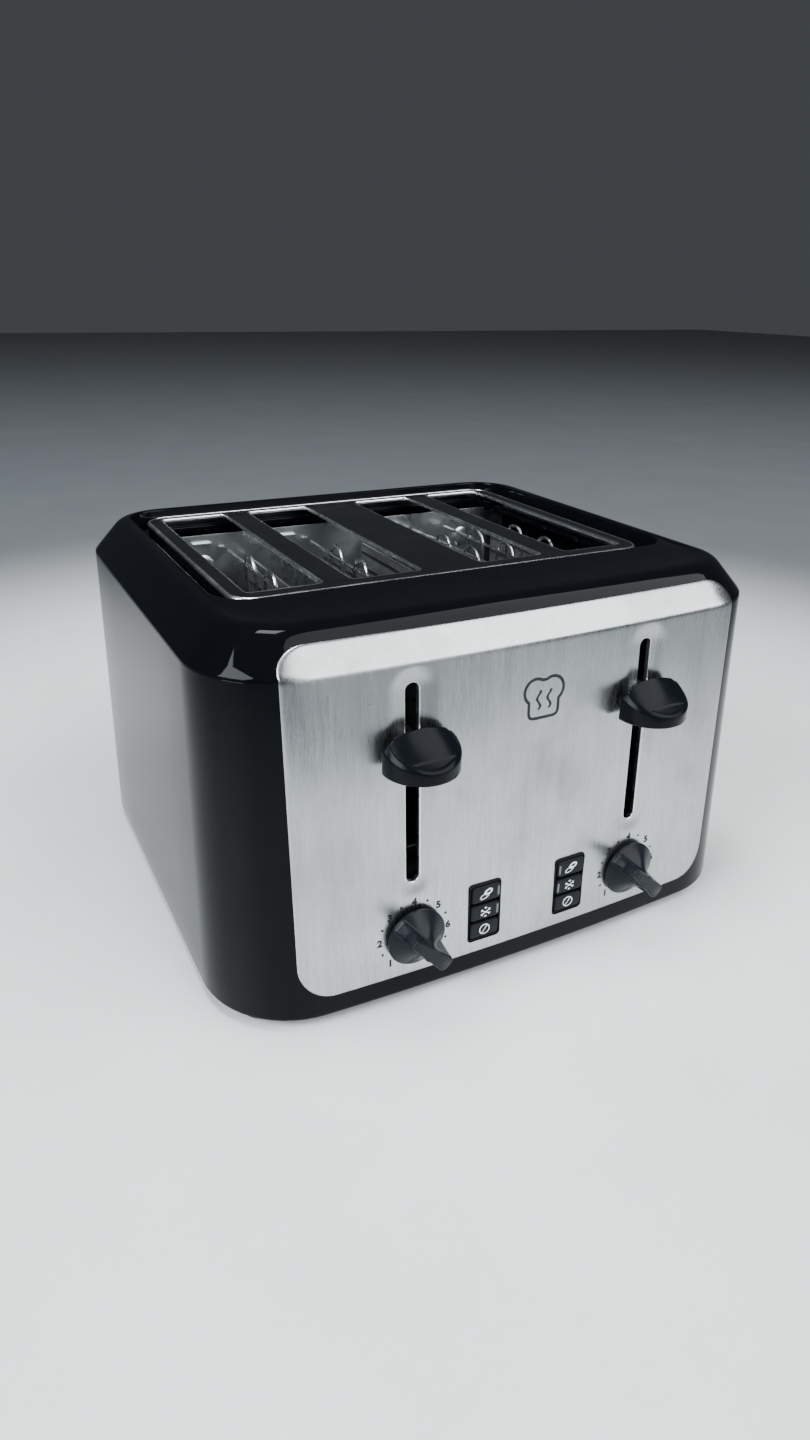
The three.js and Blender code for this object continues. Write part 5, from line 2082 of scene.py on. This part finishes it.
    def sign(self, key: Key) -> Shape:
        """The printed sign about its own middle; y runs from -0.04 to -0.005.

        Args:
            key: which key.

        Returns:
            The shape.
        """
        if key is Key.BAGEL:
            back = ellipse_line(0.85, 1.0, 2.3, 1.5, 0.4, 0.8)
            front = ellipse_line(-0.95, -1.0, 2.5, 1.35, 0.4, 0.42)
            return Shape.joined([back, front])
        if key is Key.FROZEN:
            arms = []
            for k in range(3):
                a = math.pi * k / 3 + math.pi / 2
                arms.append(bar(0, 0, a, 2.75, 0.22))
            for k in range(6):
                a = math.pi * k / 3 + math.pi / 2
                cx, cz = 1.85 * math.cos(a), 1.85 * math.sin(a)
                for lean in (-0.85, 0.85):
                    b = a + lean
                    arms.append(bar(cx + 0.45 * math.cos(b), cz + 0.45 * math.sin(b), b, 0.38, 0.15))
            return Shape.joined(arms)
        return Shape.joined([ellipse_line(0, 0, 2.75, 2.75, 0.0, 0.45), bar(0, 0, 0.95, 2.4, 0.21)])


def ellipse_line(cx: float, cz: float, a: float, b: float, turn: float, width: float) -> Shape:
    """A closed line of even width along a turned ellipse, as a thin solid.

    Args:
        cx, cz: its middle.
        a, b: half axes of the outer edge.
        turn: turn in radians.
        width: width of the line, inwards.

    Returns:
        The shape.
    """
    t = np.arange(40) * TAU / 40

    def edge(inset: float) -> np.ndarray:
        """The ellipse moved inwards.

        Args:
            inset: how far.

        Returns:
            (n, 2) points.
        """
        u, v = (a - inset) * np.cos(t), max(b - inset, 0.02) * np.sin(t)
        c, s = math.cos(turn), math.sin(turn)
        return np.stack([cx + u * c - v * s, cz + u * s + v * c], 1)

    outer, inner = edge(0.0), edge(width)
    layers = []
    for loop, y in ((outer, -0.005), (outer, -0.04), (inner, -0.04), (inner, -0.005)):
        layers.append(np.column_stack([loop[:, 0], np.full(len(loop), y), loop[:, 1]]))
    return rings(layers, closed=True)


def bar(cx: float, cz: float, angle: float, reach: float, half: float) -> Shape:
    """A thin straight mark about a point, as a thin solid.

    Args:
        cx, cz: the point.
        angle: direction of the mark in radians.
        reach: half of its length.
        half: half of its width.

    Returns:
        The shape.
    """
    c, s = math.cos(angle), math.sin(angle)
    corners = np.array([(-reach, -half), (reach, -half), (reach, half), (-reach, half)])
    turned = corners @ np.array([(c, s), (-s, c)]) + (cx, cz)
    return front_prism(turned, -0.04, -0.005)


# ---------- slot plate ----------
@dataclass
class SlotPlate:
    """Brushed plate with a rolled rim and four slots with turned-down lips; rim and lips are a lighter copy of
    the steel, a painted highlight.
    """

    half: float = 108.3
    front: float = 71.5
    back: float = 231.5
    corner: float = 12.0
    slot_half: float = 17.5
    slot_front: float = 81.0
    slot_back: float = 225.0

    def loop(self, inset: float) -> np.ndarray:
        """The plate's outline moved inwards."""
        return plan_loop(self.half - inset, self.front + inset, self.back - inset, self.corner - inset)

    def slot(self, x: float, out: float) -> np.ndarray:
        """A slot's outline moved outwards."""
        return rounded_loop(
            x - self.slot_half - out, self.slot_front - out, x + self.slot_half + out, self.slot_back + out,
            2.6 + out, 6
        )

    def build(self) -> None:
        """Makes the plate, its rim and the lips."""
        section = ((1.3, 170.7), (1.3, 166.0), (0.3, 166.0), (0.3, 171.2), (1.4, 171.4), (1.4, 172.0))
        plate = plan_rings([(self.loop(i), z) for i, z in section]).build("slot_plate_sheet", sharp=30)
        cut(
            plate, [plan_rings([(self.slot(x, 0.7), 160), (self.slot(x, 0.7), 180)]) for x in SLOT_CENTRES],
            sharp=30
        )
        settle(plate, CHASSIS, PLATE_STEEL, ("slot_plate",))
        roll = (
            (1.62, 171.8), (1.62, 172.1), (1.5, 172.2), (1.15, 172.16), (0.82, 172.02), (0.5, 171.78),
            (0.23, 171.45), (0.06, 171.02), (0.0, 170.6), (0.35, 170.6), (0.6, 171.2)
        )
        rim = plan_rings([(self.loop(i), z) for i, z in roll], closed=True).build("slot_plate_rim", sharp=60)
        # painted highlight: the rim is the plate's own steel in a lighter copy
        settle(rim, CHASSIS, PAINTED_HIGHLIGHT_RIM_STEEL)
        lip = (
            (0.9, 171.97), (0.7, 172.05), (0.45, 172.06), (0.22, 171.95), (0.06, 171.7), (0.0, 171.3),
            (0.0, 170.4), (0.55, 170.4), (0.62, 171.3), (0.85, 171.8)
        )
        lips = Shape.joined(
            plan_rings([(self.slot(x, o), z) for o, z in lip], closed=True) for x in SLOT_CENTRES
        )
        # painted highlight: the slot lips in the same lighter copy of the plate's steel
        settle(lips.build("slot_lips", sharp=60), CHASSIS, PAINTED_HIGHLIGHT_RIM_STEEL)


# ---------- toasting chamber ----------
@dataclass
class Chamber:
    """What the slots show: wire guides, heater windings, sheet tabs; inner nodes dressed."""

    guide_offset: float = 13.6
    wire: float = 0.9
    pivot_z: float = 42.0
    rod_z: float = 156.0
    hoop_top: float = 162.0
    hoop_half: float = 8.0
    hoop_ys: tuple[float, ...] = (108.0, 139.0, 170.0)
    front_y: float = 77.0
    rear_y: float = 210.0
    card_xs: tuple[float, ...] = (-103, -57.75, -12.5, 12.5, 57.75, 103)

    def build(self) -> None:
        """Makes the guides, the windings and the tabs, and dresses the CAD nodes."""
        for i, centre in enumerate(SLOT_CENTRES):
            for j, side in enumerate((-1, 1)):
                self.build_guide(2 * i + j + 1, centre + side * self.guide_offset)
        self.build_windings()
        self.build_tabs()
        self.dress_nodes()

    def build_guide(self, number: int, x: float) -> None:
        """Round-wire guide: two rods along y and three hoops; each hoop is two legs and an arch.

        Args:
            number: the guide's number, from the left.
            x: its place across.
        """
        section = circle(self.wire, 10)
        y0, y1 = self.front_y + 3, self.rear_y - 3
        parts = [tube(np.array([(x, y0, z), (x, y1, z)]), section) for z in (self.pivot_z, self.rod_z)]
        a = np.linspace(math.pi, 0, 15)
        for y in self.hoop_ys:
            arch = np.stack(
                [
                    np.full(15, x), y + self.hoop_half * np.cos(a),
                    self.hoop_top - self.hoop_half + self.hoop_half * np.sin(a)
                ],
                1
            )
            path = np.concatenate(
                [[(x, y - self.hoop_half, self.pivot_z)], arch, [(x, y + self.hoop_half, self.pivot_z)]]
            )
            parts.append(tube(path, section, side=np.array((1.0, 0.0, 0.0))))
        guide = Shape.joined(parts).build(f"guide_wire_{number}")
        settle(guide, f"guide_{number}", NICKEL, (f"bread_guide_{number}",))

    def build_windings(self) -> None:
        """Flat resistance wires on both faces of each card, evenly spaced up it."""
        y0, y1 = self.front_y + 5, self.rear_y - 5
        bars = []
        for x in self.card_xs:
            for side in (-1, 1):
                near, far = sorted((x + side * 0.62, x + side * 0.95))
                bars += [block(near, y0, z, far, y1, z + 1.7) for z in np.linspace(40, 146, 13)]
        piece = Shape.joined(bars).build("heater_windings", smooth=False)
        settle(piece, CHASSIS, RIBBON)

    def build_tabs(self) -> None:
        """Bent tabs near the top of the rear sheet, and a round pressing behind each slot."""
        parts = []
        for x in SLOT_CENTRES:
            parts.append(block(x - 5.5, self.rear_y - 2.4, 160.2, x + 4.5, self.rear_y - 0.1, 161.0))
            parts.append(block(x + 9.0, self.rear_y - 1.6, 157.5, x + 12.2, self.rear_y - 0.1, 158.2))
            r = np.array([0, 4.2, 5.4, 6.0, 6.0, 0])
            h = np.array([-1.0, -0.9, -0.5, -0.02, 0.2, 0.2])
            parts.append(lathe(list(zip(r, h)), (x, self.rear_y, 148.0), "y", 32))
        piece = Shape.joined(parts).build("rear_sheet_tabs", sharp=50)
        settle(piece, CHASSIS, SHEET)

    def dress_nodes(self) -> None:
        """Finishes for the nodes that keep their CAD shape."""
        for node in ("front_bulkhead", "rear_bulkhead"):
            dress_node(node, SHEET)
        for i in range(1, 7):
            dress_node(f"heater_card_{i}", MICA_SHEET)
        for i in range(1, 5):
            dress_node(f"bread_rack_{i}", NICKEL)
        for side in SIDES:
            dress_node(f"lift_carriage_{side}", SHEET)
            dress_node(f"guide_rod_{side}", NICKEL)
            dress_node(f"lift_spring_{side}", NICKEL)
            dress_node(f"latch_magnet_{side}", WINDING)
            dress_node(f"timer_control_{side}", MOULDED)
            dress_node(f"crumb_tray_{side}", SHEET)
        dress_node("control_board", BOARD)


def main() -> None:
    """Builds the camera and the cord, then every sub-assembly in order."""
    logging.basicConfig(level=logging.INFO, format="%(name)s: %(message)s")
    Stage().build()
    MainsCord().build()
    Housing().build()
    FrontPanel().build()
    SlotPlate().build()
    for side in SIDES:
        LeverKnob(side).build()
        BrowningDial(side).build()
        ButtonGroup(side).build()
    Chamber().build()


if __name__ == "__main__":
    main()
